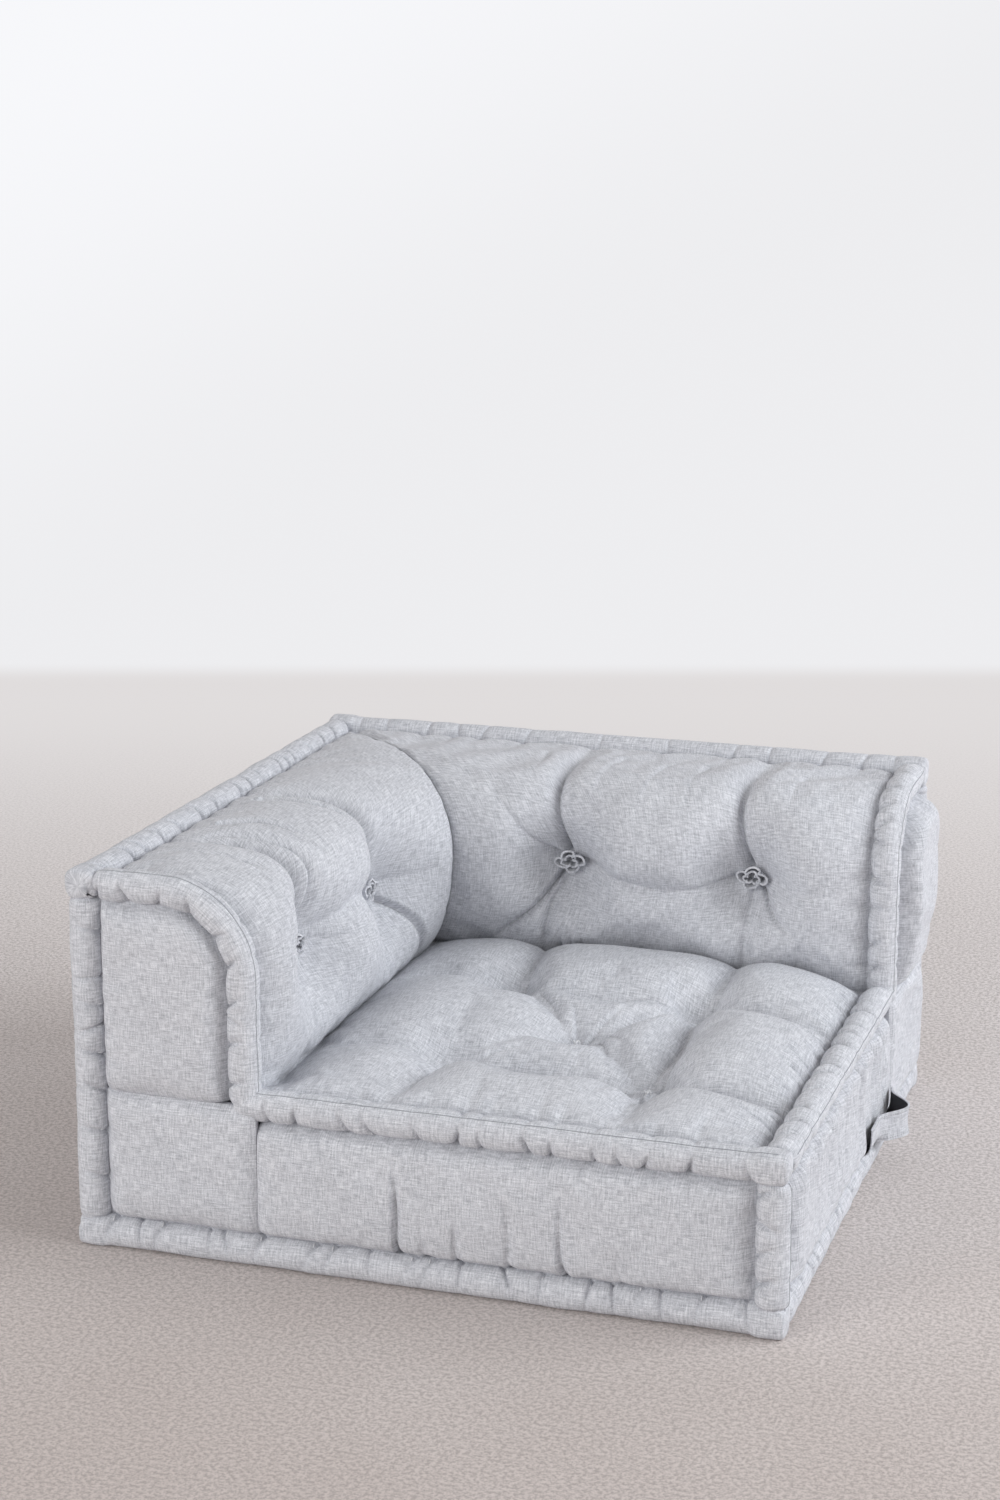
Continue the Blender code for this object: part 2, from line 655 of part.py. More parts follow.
def strap_layer(name, inner, thickness, material):
    """One layer of the grab strap: two sewn tabs and a bowed hand loop between them, on the right band."""
    start = BOLSTER_THICKNESS + STRAP_FROM_SEAM
    loop = (start + STRAP_REAR_TAB, start + STRAP_REAR_TAB + STRAP_LOOP)
    lines = stations([start, *loop, loop[1] + STRAP_FRONT_TAB], STRAP_COLUMNS)
    bottom = BASE_AXIS + SEAM + STRAP_ABOVE_ROLL
    top = bottom + STRAP_HEIGHT
    heights = stations([bottom, top], (STRAP_ROWS,))

    def place(i, j, k):
        t = lines[i]
        bow = math.sin(math.pi * share_of(t, *loop)) ** STRAP_BOW_POWER
        level = min(1.0, STRAP_UPRIGHT_RATE * bow)
        band = BACK.end_bulge(t, heights[j]) * (1 - level) + BACK.end_bulge(t, top) * level
        out = band + STRAP_SEAT + STRAP_BOW * bow + inner + thickness * k
        return BACK.place(BACK.length - ROLL_RADIUS + out, t, heights[j])

    shaped_block(name, (len(lines) - 1, len(heights) - 1, 1), place, material)


def grab_strap():
    strap_layer("grab_strap_lining", 0.0, LINING_CLOTH, BLACK_LINING)
    strap_layer("grab_strap", LINING_CLOTH + GAP, STRAP_CLOTH, COVER_CLOTH)


clear_scene()
ROOT = bpy.data.objects.new("corner_seat", None)
bpy.context.collection.objects.link(ROOT)
COVER_CLOTH = finish("pale_grey_blue_linen", 0.9, 0.0, (0.51, 0.53, 0.57))
STUFFING = finish("cotton_stuffing", 0.95, 0.0, (0.82, 0.78, 0.70))
TWINE = finish("waxed_twine", 0.8, 0.0, (0.70, 0.70, 0.70))
BLACK_LINING = finish("black_strap_lining", 0.8, 0.0, (0.02, 0.02, 0.022))

SEAT_TUFTS = seat_tufts()
SIDE_TUFTS = bolster_tufts(HALF_D - SEAT_MIDDLE_Y)
BACK_TUFTS = bolster_tufts(HALF_W + SEAT_MIDDLE_X)
SIDE = Bolster("side", DEPTH, WIDTH, lambda s, t, z: Vector((-HALF_W + t, HALF_D - s, z)), SIDE_TUFTS)
BACK = Bolster("back", WIDTH, DEPTH, lambda s, t, z: Vector((-HALF_W + s, HALF_D - t, z)), BACK_TUFTS)
TIES = ties()
CUTTERS = tie_cutters()

base_cloth()
seat_fill()
seat_cover()
for wing in (SIDE, BACK):
    bolster_fill(wing)
    bolster_cover(wing)
    end_roll(wing)
end_panels(SIDE, "side_end_cap", "front_corner_panel", "front_band")
end_panels(BACK, "back_end_cap", "right_corner_panel", "right_band")
outer_panels(SIDE, "left_band")
outer_panels(BACK, "rear_band")
bottom_rolls()
corner_rolls()
top_rolls()
tuft_ties()
seat_knots()
rosettes()
grab_strap()
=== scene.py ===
"""Looks of a low corner seat: stuffed linen panels, hand-stitched edge rolls, tufts and a grab strap."""

import math
import random

import bmesh
import bpy
import numpy as np
from mathutils import Matrix, Vector, noise


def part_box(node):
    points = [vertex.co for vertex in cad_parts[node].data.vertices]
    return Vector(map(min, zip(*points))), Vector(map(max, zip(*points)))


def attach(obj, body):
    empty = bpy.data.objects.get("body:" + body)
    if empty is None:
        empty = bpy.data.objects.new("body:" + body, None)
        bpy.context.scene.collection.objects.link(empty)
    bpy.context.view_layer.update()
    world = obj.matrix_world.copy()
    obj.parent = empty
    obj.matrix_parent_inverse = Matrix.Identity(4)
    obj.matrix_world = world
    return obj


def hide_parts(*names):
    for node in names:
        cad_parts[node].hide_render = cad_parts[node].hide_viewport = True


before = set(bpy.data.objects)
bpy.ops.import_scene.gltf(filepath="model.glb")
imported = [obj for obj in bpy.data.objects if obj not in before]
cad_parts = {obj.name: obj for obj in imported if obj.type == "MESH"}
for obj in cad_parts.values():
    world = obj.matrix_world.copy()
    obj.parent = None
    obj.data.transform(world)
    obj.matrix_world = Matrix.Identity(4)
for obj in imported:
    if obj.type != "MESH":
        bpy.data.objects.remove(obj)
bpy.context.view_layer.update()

# Sizes of the solids, in metres
WIDTH = 0.83
DEPTH = 0.83
BACK_HEIGHT = 0.45
SEAT_HEIGHT = 0.21
BOLSTER_THICKNESS = 0.225
BOLSTER_ROUND = 0.11
ROLL_RADIUS = 0.018
CLOTH = 0.003
GAP = 0.0004
SEAT_CROWN = 0.048
BOLSTER_CROWN = 0.060
BAND_CROWN = 0.022
CAP_CROWN = 0.024
BOLSTER_RISE = 0.20
BOLSTER_TOP_SHARE = 0.25
SWELL_POWER = 3
SEAM_LEVEL = 0.6
TUFT_SPACING = 0.24
SEAT_TUFT_DEPTH = 0.056
ROSETTE_SHIFT = 0.022
ROSETTE_RISE = 0.133
ROSETTE_DEPTH = 0.092
ROSETTE_NECK = 0.079

# Planes of the rolls' axes and of the seams
HALF_W = WIDTH / 2
HALF_D = DEPTH / 2
SEAM = ROLL_RADIUS + GAP
EDGE = ROLL_RADIUS + SEAM
BASE_AXIS = ROLL_RADIUS
SEAT_AXIS = SEAT_HEIGHT - ROLL_RADIUS
TOP_AXIS = BACK_HEIGHT - ROLL_RADIUS
BOLSTER_AXIS = BOLSTER_THICKNESS - ROLL_RADIUS
SEAT_LEFT = -HALF_W + BOLSTER_AXIS + GAP
SEAT_RIGHT = HALF_W - EDGE
SEAT_FRONT = -HALF_D + EDGE
SEAT_REAR = HALF_D - BOLSTER_AXIS - GAP
SEAT_MIDDLE = ((SEAT_LEFT + SEAT_RIGHT) / 2, (SEAT_FRONT + SEAT_REAR) / 2)
ROUND_AXIS = BOLSTER_ROUND - ROLL_RADIUS
TOP_RUN = BOLSTER_AXIS - ROUND_AXIS - EDGE
ROUND_RUN = ROUND_AXIS * math.pi / 2
COVER_RUN = TOP_RUN + ROUND_RUN + TOP_AXIS - ROUND_AXIS - SEAT_AXIS
ROSETTE_RUN = COVER_RUN - ROSETTE_RISE

UP = np.array((0, 0, 1.0))
CORNER = np.array((-HALF_W, HALF_D, 0.0))

# Round a tuft's middle the valleys fade out
TUFT_CORE = 0.03

# How far from the corner the mitre seam reaches
MITRE_REACH = BOLSTER_AXIS + BOLSTER_CROWN

# Meshing
CELL = 0.004
HIDDEN_CELL = 0.006
ROLL_CELL = 0.0026
ROLL_SIDES = 40
THREAD_SIDES = 6
RIM = 1e-6

# How far a panel's edge goes in under its roll or bolster, and how the stuffing swells beside it
TUCK = 0.008
PLUMP = 0.010
PLUMP_RISE = 0.007
PLUMP_FALL = 0.06

# How seams are drawn in
MITRE_DIP = 0.003
MITRE_DIP_REACH = 0.005
SEAM_DIP = 0.0035
SEAM_REACH = 0.0034

# How stitches draw in the panels beside them: depth at a stitch, reach from the edge
COVER_TOP_PUCKER = (0.007, 0.026)
COVER_END_PUCKER = (0.007, 0.020)
SEAT_FRONT_PUCKER = (0.006, 0.022)
SEAT_RIGHT_PUCKER = (0.013, 0.022)
BAND_TOP_PUCKER = (0.006, 0.016)
BAND_FOOT_PUCKER = (0.003, 0.016)
BAND_CORNER_PUCKER = (0.008, 0.012)
UPRIGHT_PUCKER = (0.005, 0.018)
HIDDEN_FOOT_PUCKER = (0.006, 0.018)
HIDDEN_TOP_PUCKER = (0.006, 0.02)

# Waves of the stuffing under the covers: their height, and how close they lie both ways
COVER_WAVES = (0.0016, 22, 22)
SEAT_WAVES = (0.0012, 20, 20)
END_WAVES = (0.0014, 24, 24)
BAND_WAVES = (0.0014, 24, 12)
HIDDEN_BAND_WAVES = (0.0016, 26, 12)
HIDDEN_COVER_WAVES = (0.0018, 20, 20)

# Folds: how they fade along their line, how much steeper one side is, and their lips
FOLD_FADE = 0.8
FOLD_LEAN = 0.4
LIP_SHARE = 0.10
LIP_PLACE = 2.6
LIP_WIDTH = 1.1

# Settling cloth: how firmly it is held where it is free and how much more in a hollow, how far round a tuft
# it is held, how deep a full hollow is, and how far the cloth may move
FREE_HOLD = 0.05
HOLLOW_HOLD = 0.3
COVER_TUFT_HOLD = 0.012
SEAT_TUFT_HOLD = 0.006
COVER_HOLLOW = 0.05
SEAT_HOLLOW = 0.04
CUSHION_MOVE = 0.012
PANEL_MOVE = 0.005
HIDDEN_MOVE = 0.0025

# How far the outer covers lie over the ends of the ties, and how deep an upright panel is
OUTER_LIFT = 0.003
PANEL_DEPTH = 0.008

# Stitches: the shortest and longest step between them and the room round a set one, as shares of their pitch,
# the least pull, and how sharp the notch of a panel is
STEP_SHARES = (0.45, 1.6)
SET_SHARE = 0.5
LEAST_PULL = 0.45
PANEL_NOTCH = 0.9

# Rolls: their fullness between stitches, how stitches narrow them, the slits and cells there, and their waves
ROLL_FULLNESS = 1.05
ROLL_NARROW = 0.04
ROLL_NOTCH = 0.6
SLIT_DEPTH = 0.0052
SLIT_WIDTH = 0.0024
CELL_CROWD = 2.5
CROWD_REACH = 0.004
ROLL_SWAY = (0.0012, 9)
ROLL_WAVES = (0.0009, 26, 1.5)
ROLL_CREASES = (0.0006, 170, 0.8)

# Angles round a roll: where the pull begins and is full, where slits are full, and what they lean about
PULL_ANGLES = (0.1, 1.5)
SLIT_ANGLE = 1.2
LEAN_ANGLE = 1.6

# Ends of rolls: how far they grow into each other or go in under a bolster, the square folded corners, and
# how flat and round they close
ROLL_GROW = 0.005
ROLL_TUCK = 0.012
EAR = 0.042
EAR_FOLD = 0.012
EAR_POWER = 3.2
EAR_FLATNESS = 5
END_FLATNESS = 3
END_ROUND = 0.7 * ROLL_RADIUS

# Threads
SEAM_THREAD = 0.0006
SEAM_MARGIN = 0.02
SEAM_SINK = 0.0001
MITRE_THREAD = 0.0009
MITRE_MARGIN = 0.01
KNOT_THREAD = 0.0011
STITCH_LENGTH = 0.007
STITCH_RADIUS = 0.0009
STITCH_CLEAR = 0.012
STITCH_TURN = 0.1
GROOVE_ANGLE = 2.0

# Rosettes: the ribbon's width and cloth, and the size, petals and cells of the two ribbons
RIBBON = 0.016
RIBBON_CLOTH = 0.0025
RIBBONS = ((0.0128, 4, 190), (0.0070, 3, 110))

# Loops of a ribbon: their swing, how far they reach in and out, how they lag and open, their shape and frill
PETAL_SWING = 0.30
PETAL_REACH = (0.78, 0.34)
PETAL_LAG = 0.9
PETAL_OPEN = (0.72, 0.38)
PETAL_SHAPE = (1.2, 0.82)
PETAL_FRILL = 0.0012
RUFFLE_LIFT = 0.0015

# Grab strap, on the scale of the back wing's end
STRAP_START = BOLSTER_THICKNESS + 0.004
STRAP_LOOP = (STRAP_START + 0.012, STRAP_START + 0.105)
STRAP_END = STRAP_START + 0.155
STRAP_FOOT = BASE_AXIS + SEAM + 0.004
STRAP_HEIGHT = 0.036
STRAP_BOW = 0.028
STRAP_SEAT = 0.0007
STRAP_CLEAR = 0.002
STRAP_HOLLOW = 0.002
STRAP_CLOTH = 0.0022
LINING_CLOTH = 0.0012
LINING_INSET = 0.001
STRAP_STITCHES = 56
STRAP_STITCH_SHARE = 0.36
STRAP_STITCH_RADIUS = 0.0004
STRAP_STITCH_LIFT = 0.0001

# Base cloth: the slack that shows between the bottom rolls
BASE_SLACK = 0.0006


def feed(tree, slot, value):
    """Links a socket to a node's slot, or sets a plain value there."""
    if isinstance(value, Socket):
        tree.links.new(value.socket, slot)
    else:
        slot.default_value = value


class Socket:
    """A shader socket that takes part in Python maths."""

    def __init__(self, tree, socket):
        self.tree = tree
        self.socket = socket

    def math(self, operation, first, second):
        node = self.tree.nodes.new("ShaderNodeMath")
        node.operation = operation
        feed(self.tree, node.inputs[0], first)
        feed(self.tree, node.inputs[1], second)
        return Socket(self.tree, node.outputs[0])

    def __add__(self, other):
        return self.math("ADD", self, other)

    def __radd__(self, other):
        return self.math("ADD", other, self)

    def __sub__(self, other):
        return self.math("SUBTRACT", self, other)

    def __rsub__(self, other):
        return self.math("SUBTRACT", other, self)

    def __mul__(self, other):
        return self.math("MULTIPLY", self, other)

    def __rmul__(self, other):
        return self.math("MULTIPLY", other, self)


class Finish:
    """A node material: constants go on the shader's own sockets, patterns are linked."""

    def __init__(self, name, **constants):
        self.material = bpy.data.materials.new(name)
        self.material.use_nodes = True
        self.tree = self.material.node_tree
        self.shader = self.tree.nodes["Principled BSDF"]
        for socket, value in constants.items():
            self.shader.inputs[socket.replace("_", " ").title()].default_value = value

    def node(self, kind, output, settings=None, slots=None, **inputs):
        """One node of any kind: its settings first, then values or links by slot number or by name."""
        made = self.tree.nodes.new(kind)
        for name, value in (settings or {}).items():
            setattr(made, name, value)
        for number, value in (slots or {}).items():
            feed(self.tree, made.inputs[number], value)
        for name, value in inputs.items():
            feed(self.tree, made.inputs[name.replace("_", " ")], value)
        return Socket(self.tree, made.outputs[output])

    def noise(self, place, scale, detail=2.0, roughness=0.55):
        """Noise of 0 to 1 on coordinates stretched by scale."""
        stretched = self.node("ShaderNodeMapping", "Vector", Vector=place, Scale=scale)
        return self.node(
            "ShaderNodeTexNoise", "Fac", Vector=stretched, Scale=1.0, Detail=detail, Roughness=roughness
        )

    def blend(self, low, high, share):
        """Colour between two colours."""
        return self.node("ShaderNodeMix", 2, {"data_type": "RGBA"}, {0: share, 6: low, 7: high})

    def ramp(self, value, low, high):
        """0 below low, 1 above high, smooth between them."""
        smoothly = {"interpolation_type": "SMOOTHSTEP"}
        return self.node("ShaderNodeMapRange", "Result", smoothly, Value=value, From_Min=low, From_Max=high)

    def link(self, socket, value):
        self.tree.links.new(value.socket, self.shader.inputs[socket])

    def emboss(self, height, distance, strength):
        bump = self.node("ShaderNodeBump", "Normal", Height=height, Distance=distance, Strength=strength)
        self.link("Normal", bump)


def linen():
    """Pale grey-blue melange cloth: slubby warp and weft, speckled yarn, faint clouding."""
    cloth = Finish("grey_blue_linen", roughness=0.95, sheen_weight=0.10, sheen_roughness=0.6)
    cloth.shader.inputs["Specular IOR Level"].default_value = 0.12
    uv = cloth.node("ShaderNodeUVMap", "UV", {"uv_map": "weave"})
    warp = cloth.noise(uv, (620, 70, 1))
    weft = cloth.noise(uv, (70, 620, 1))
    speck = cloth.noise(uv, (800, 800, 1), detail=1.0)
    cloud = cloth.noise(uv, (14, 14, 1), detail=3.0)
    tone = warp * 1.3 + weft * 1.3 + speck * 0.9 + cloud * 0.25 - 1.375
    cloth.link("Base Color", cloth.blend((0.345, 0.355, 0.39, 1), (0.775, 0.783, 0.82, 1), tone))
    threads = cloth.noise(uv, (1500, 160, 1), detail=0.0) + cloth.noise(uv, (160, 1500, 1), detail=0.0)
    cloth.emboss(threads, 0.0006, 0.35)
    return cloth.material


def twisted_thread(name, roughness, fineness, low, high):
    """Thread with the twist of its plies, between two colours."""
    thread = Finish(name, roughness=roughness)
    place = thread.node("ShaderNodeTexCoord", "Object")
    ply = thread.noise(place, (fineness, fineness, fineness))
    thread.link("Base Color", thread.blend(low, high, ply))
    return thread.material


def lining_finish():
    """Black ribbed lining."""
    black = Finish("black_lining", roughness=0.85)
    uv = black.node("ShaderNodeUVMap", "UV", {"uv_map": "weave"})
    rib = black.noise(uv, (1400, 200, 1))
    black.link("Base Color", black.blend((0.010, 0.010, 0.012, 1), (0.04, 0.04, 0.045, 1), rib))
    black.emboss(rib, 0.0005, 0.5)
    return black.material


def points_of(mesh):
    flat = np.empty(len(mesh.vertices) * 3)
    mesh.vertices.foreach_get("co", flat)
    return flat.reshape(-1, 3)


def put_points(mesh, points):
    mesh.vertices.foreach_set("co", np.ascontiguousarray(points, dtype=np.float32).ravel())
    mesh.update()


def line_length(points):
    return np.linalg.norm(np.diff(points, axis=0), axis=1).sum()


def unit(vectors):
    return vectors / np.linalg.norm(vectors, axis=1, keepdims=True)


def heading(path, share, step):
    """Unit tangents of a path."""
    return unit(path(np.minimum(share + step, 1)) - path(np.maximum(share - step, 0)))


def share_of(value, low, high):
    return np.clip((value - low) / (high - low), 0.0, 1.0)


def smooth(share):
    return share * share * (3 - 2 * share)


def swell(share, low, high, power=SWELL_POWER):
    """Rises from low at share 0 to 1 in the middle and falls to high at share 1."""
    fall_low = (1 - low) * np.maximum(0.0, 1 - 2 * share) ** power
    fall_high = (1 - high) * np.maximum(0.0, 2 * share - 1) ** power
    return 1 - fall_low - fall_high


def ripple(first, second, seed):
    """Even noise of -1 to 1 for two arrays of coordinates."""
    found = [noise.noise((a, b, seed)) for a, b in zip(first.tolist(), second.tolist())]
    return np.array(found)


def waves(first, second, kind, seed):
    """Low waves of the stuffing; kind gives their height and how close they lie both ways."""
    height, close_first, close_second = kind
    return height * ripple(first * close_first, second * close_second, seed)


def seam_dip(distance):
    """How far a seam draws in the panels beside it."""
    return SEAM_DIP * np.exp(-np.abs(distance) / SEAM_REACH)


class Stitches:
    """Uneven stitches along an edge: their places, how hard each one pulls and how its slit leans."""

    def __init__(self, seed, start, end, pitch, must=(), lean=0.5):
        draw = random.Random(seed)
        marks = [start]
        while marks[-1] < end - STEP_SHARES[1] * pitch:
            marks.append(marks[-1] + pitch * draw.uniform(*STEP_SHARES))
        marks.append(end)
        for place in must:
            marks = [mark for mark in marks if abs(mark - place) > SET_SHARE * pitch] + [place]
        self.marks = np.array(sorted(marks))
        self.force = np.array([draw.uniform(LEAST_PULL, 1.0) for mark in self.marks])
        self.lean = np.array([draw.uniform(-lean, lean) for mark in self.marks])

    def nearest(self, along):
        """Number of the nearest stitch, and the share of the way from the stitch before to the one after."""
        high = np.clip(np.searchsorted(self.marks, along), 1, len(self.marks) - 1)
        share = np.clip((along - self.marks[high - 1]) / (self.marks[high] - self.marks[high - 1]), 0, 1)
        return np.where(share < 0.5, high - 1, high), share

    def away(self, along):
        """Distance to the nearest stitch."""
        return np.abs(along - self.marks[self.nearest(along)[0]])

    def notch(self, along, sharpness):
        """The pull of each stitch at it, falling to 0 half-way to its neighbours."""
        number, share = self.nearest(along)
        return self.force[number] * (1 - (4 * share * (1 - share)) ** sharpness)

    def pucker(self, along, distance, depth, reach):
        """How far a panel is drawn in beside the stitched edge."""
        return depth * self.notch(along, PANEL_NOTCH) * np.exp(-np.maximum(distance, 0) / reach)


def through(before, here, after, beyond, share):
    """A share of the way from here to after on a smooth curve, in one coordinate."""
    square = (2 * before - 5 * here + 4 * after - beyond) * share**2
    cube = (3 * here - before - 3 * after + beyond) * share**3
    return 0.5 * (2 * here + (after - before) * share + square + cube)


def bend(points, steps=10):
    """A smooth line through a few points."""
    ends = [points[0], *points, points[-1]]
    found = []
    for corners in zip(ends, ends[1:], ends[2:], ends[3:]):
        for step in range(steps):
            found.append(tuple(through(*line, step / steps) for line in zip(*corners)))
    return [*found, points[-1]]


def beside(first, second, points):
    """For the smooth line through a few points: the distance to it, the share of it that is passed there,
    and on which hand it lies."""
    line = bend(points)
    nearest = np.full(first.shape, 1e9)
    passed = np.zeros(first.shape)
    hand = np.zeros(first.shape)
    total = sum(math.dist(a, b) for a, b in zip(line, line[1:]))
    gone = 0.0
    for (a0, b0), (a1, b1) in zip(line, line[1:]):
        length = math.dist((a0, b0), (a1, b1))
        share = np.clip(((first - a0) * (a1 - a0) + (second - b0) * (b1 - b0)) / length**2, 0, 1)
        away = np.hypot(first - a0 - share * (a1 - a0), second - b0 - share * (b1 - b0))
        closer = away < nearest
        passed = np.where(closer, (gone + share * length) / total, passed)
        hand = np.where(closer, np.sign((first - a0) * (b1 - b0) - (second - b0) * (a1 - a0)), hand)
        nearest = np.where(closer, away, nearest)
        gone += length
    return nearest, passed, hand


def valley(first, second, points, begins, ends, reach):
    """A valley between two swells of the stuffing, sharp at its bottom."""
    away, passed, hand = beside(first, second, points)
    return (begins + (ends - begins) * passed) * np.maximum(0.0, 1 - away / reach) ** 2


def hollows(pit, away, valleys):
    """Tufts and valleys together; the valleys rise into the swells round each tuft, away from its middle."""
    clear = 1 - np.exp(-((away / TUFT_CORE) ** 2))
    return np.sqrt(pit**2 + clear * np.sum(np.array(valleys) ** 2, axis=0))


def crease(first, second, points, depth, width):
    """A fold of the cloth, deepest at its first point: a sharp line, steeper on one side, with low lips."""
    away, passed, hand = beside(first, second, points)
    level = depth * (1 - passed) ** FOLD_FADE
    steps = away / (width * (1 + FOLD_LEAN * hand))
    return level * (np.exp(-steps) - LIP_SHARE * np.exp(-(((steps - LIP_PLACE) / LIP_WIDTH) ** 2)))


def folds(first, second, lines):
    """All folds of a panel together."""
    found = [crease(first, second, points, depth, width) for points, depth, width in lines]
    return np.maximum.reduce(found) + np.minimum.reduce([np.minimum(item, 0) for item in found])


def plump(distance):
    """How the stuffing swells a panel beside its roll."""
    inside = np.maximum(distance, 0)
    return PLUMP * (1 - np.exp(-inside / PLUMP_RISE)) * np.exp(-inside / PLUMP_FALL)


def link(piece, material):
    piece.data.materials.append(material)
    bpy.context.scene.collection.objects.link(piece)
    return piece


def piece_from(bm, name, material):
    """A new piece from a finished bmesh."""
    mesh = bpy.data.meshes.new(name)
    bm.to_mesh(mesh)
    bm.free()
    return link(bpy.data.objects.new(name, mesh), material)


def reshape(piece, change):
    """Changes a piece's mesh with bmesh operators, then turns its faces outwards and smooths them."""
    bm = bmesh.new()
    bm.from_mesh(piece.data)
    change(bm)
    bmesh.ops.recalc_face_normals(bm, faces=bm.faces)
    bm.to_mesh(piece.data)
    bm.free()
    piece.data.shade_smooth()


def ride(piece, slot, *nodes):
    """Fixes a finished piece to the seat and hides the solids that it stands for; slot is not used."""
    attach(piece, "root")
    if nodes:
        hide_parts(*nodes)


def cloth_grid(name, cells, place, span, material):
    """A sheet of cloth cells: place takes shares of 0 to 1 across and up it and gives the points."""
    bm = bmesh.new()
    bm.loops.layers.uv.new("weave")
    bmesh.ops.create_grid(bm, x_segments=cells[0], y_segments=cells[1], size=0.5, calc_uvs=True)
    piece = piece_from(bm, name, material)
    u, v = (points_of(piece.data)[:, :2] + 0.5).T
    put_points(piece.data, place(u, v))
    layer = piece.data.uv_layers["weave"].data
    flat = np.empty(len(layer) * 2)
    layer.foreach_get("uv", flat)
    layer.foreach_set("uv", (flat.reshape(-1, 2) * np.array(span)).ravel())
    return piece, u, v


def cells_of(span, cell=CELL):
    """How many cells fit across and up a sheet."""
    return round(span[0] / cell), round(span[1] / cell)


def add_stitch(bm, centre, along, half_length, radius):
    """One stitch: a slim bead that lies along a direction."""
    turn = along.to_track_quat("X", "Z").to_matrix().to_4x4()
    size = Matrix.Diagonal((half_length, radius, radius, 1))
    place = Matrix.Translation(centre) @ turn @ size
    bmesh.ops.create_icosphere(bm, subdivisions=1, radius=1, matrix=place)


def bake(piece):
    """Applies the modifiers of a piece to its mesh."""
    baked = bpy.data.meshes.new_from_object(piece.evaluated_get(bpy.context.evaluated_depsgraph_get()))
    piece.modifiers.clear()
    piece.data = baked


def refine(piece):
    """Bakes one level of subdivision into a sheet."""
    finer = piece.modifiers.new("finer", "SUBSURF")
    finer.levels = finer.render_levels = 1
    finer.boundary_smooth = "PRESERVE_CORNERS"
    bake(piece)


def note_place(piece, first, second):
    """Keeps a sheet's own two coordinates on its points."""
    kept = piece.data.attributes.new("place", "FLOAT_VECTOR", "POINT")
    kept.data.foreach_set("vector", np.stack((first, second, 0 * first), axis=1).ravel())


def press(piece, shift):
    """Presses the folds into a settled sheet: shift gives each point's move for its own two coordinates."""
    mesh = piece.data
    flat = np.empty(len(mesh.vertices) * 3)
    mesh.attributes["place"].data.foreach_get("vector", flat)
    place = flat.reshape(-1, 3)
    put_points(mesh, points_of(mesh) + shift(place[:, 0], place[:, 1]))
    mesh.attributes.remove(mesh.attributes["place"])


def close_behind(piece, behind):
    """Turns a sheet into a closed pad: its rim goes back to where behind says and is filled there."""

    def close(bm):
        rim = [edge for edge in bm.edges if edge.is_boundary]
        made = bmesh.ops.extrude_edge_only(bm, edges=rim)["geom"]
        for item in made:
            if isinstance(item, bmesh.types.BMVert):
                item.co = behind(item.co)
        for edge in rim:
            edge.smooth = False
        back = [item for item in made if isinstance(item, bmesh.types.BMEdge) and item.is_boundary]
        bmesh.ops.edgeloop_fill(bm, edges=back)

    reshape(piece, close)


def thicken(piece, depth):
    """Gives a sheet its cloth thickness, on the side that its faces point to."""
    shell = piece.modifiers.new("cloth", "SOLIDIFY")
    shell.thickness = depth
    shell.offset = 1
    bake(piece)
    piece.data.shade_smooth()
    piece.data.set_sharp_from_angle(angle=math.radians(50))


def weld(piece):
    """Joins the two edges of a sheet that was rolled up."""
    reshape(piece, lambda bm: bmesh.ops.remove_doubles(bm, verts=bm.verts, dist=1e-6))


def hold_weights(held, hollow, full):
    """Weights for settling: 1 where the cloth is held, else more in hollows, up to their full depth."""
    return np.where(held, 1.0, FREE_HOLD + HOLLOW_HOLD * np.clip(hollow / full, 0, 1))


def settle(piece, held, slack, pressure, stiffness=1.0, frames=12, most=CUSHION_MOVE):
    """Lets the cloth settle under the stuffing's pressure, held where the weights say."""
    start = points_of(piece.data)
    group = piece.vertex_groups.new(name="held")
    for index, weight in enumerate(held.tolist()):
        group.add([index], weight, "REPLACE")
    cloth = piece.modifiers.new("settle", "CLOTH")
    stuff = cloth.settings
    stuff.quality = 5
    stuff.mass = 0.15
    stuff.tension_stiffness = 20
    stuff.compression_stiffness = 20
    stuff.shear_stiffness = 8
    stuff.bending_stiffness = stiffness
    stuff.air_damping = 2
    stuff.vertex_group_mass = "held"
    stuff.pin_stiffness = 0.6
    stuff.shrink_min = -slack
    stuff.use_pressure = True
    stuff.uniform_pressure_force = pressure
    stuff.effector_weights.gravity = 0
    cloth.collision_settings.use_collision = False
    cloth.point_cache.frame_start = 1
    cloth.point_cache.frame_end = frames
    scene = bpy.context.scene
    for step in range(1, frames + 1):
        scene.frame_set(step)
    baked = piece.evaluated_get(bpy.context.evaluated_depsgraph_get())
    moved = points_of(baked.data) - start
    piece.modifiers.clear()
    scene.frame_set(1)
    length = np.linalg.norm(moved, axis=1, keepdims=True)
    put_points(piece.data, start + moved * np.minimum(1.0, most / np.maximum(length, 1e-9)))


def tube(name, path, away, radius, cells, span, material):
    """A thread of round section along a path; away gives a direction that is never along it."""

    def place(u, v):
        angle = v * math.tau
        tangent = heading(path, u, 1e-3)
        first = unit(np.cross(tangent, np.broadcast_to(away(u), tangent.shape)))
        second = np.cross(tangent, first)
        return path(u) + radius * (np.cos(angle)[:, None] * first + np.sin(angle)[:, None] * second)

    return cloth_grid(name, cells, place, span, material)[0]


def cap_ends(piece):
    """Closes the side and the open ends of a thread."""

    def fill(bm):
        bmesh.ops.holes_fill(bm, edges=[edge for edge in bm.edges if edge.is_boundary])

    weld(piece)
    reshape(piece, fill)


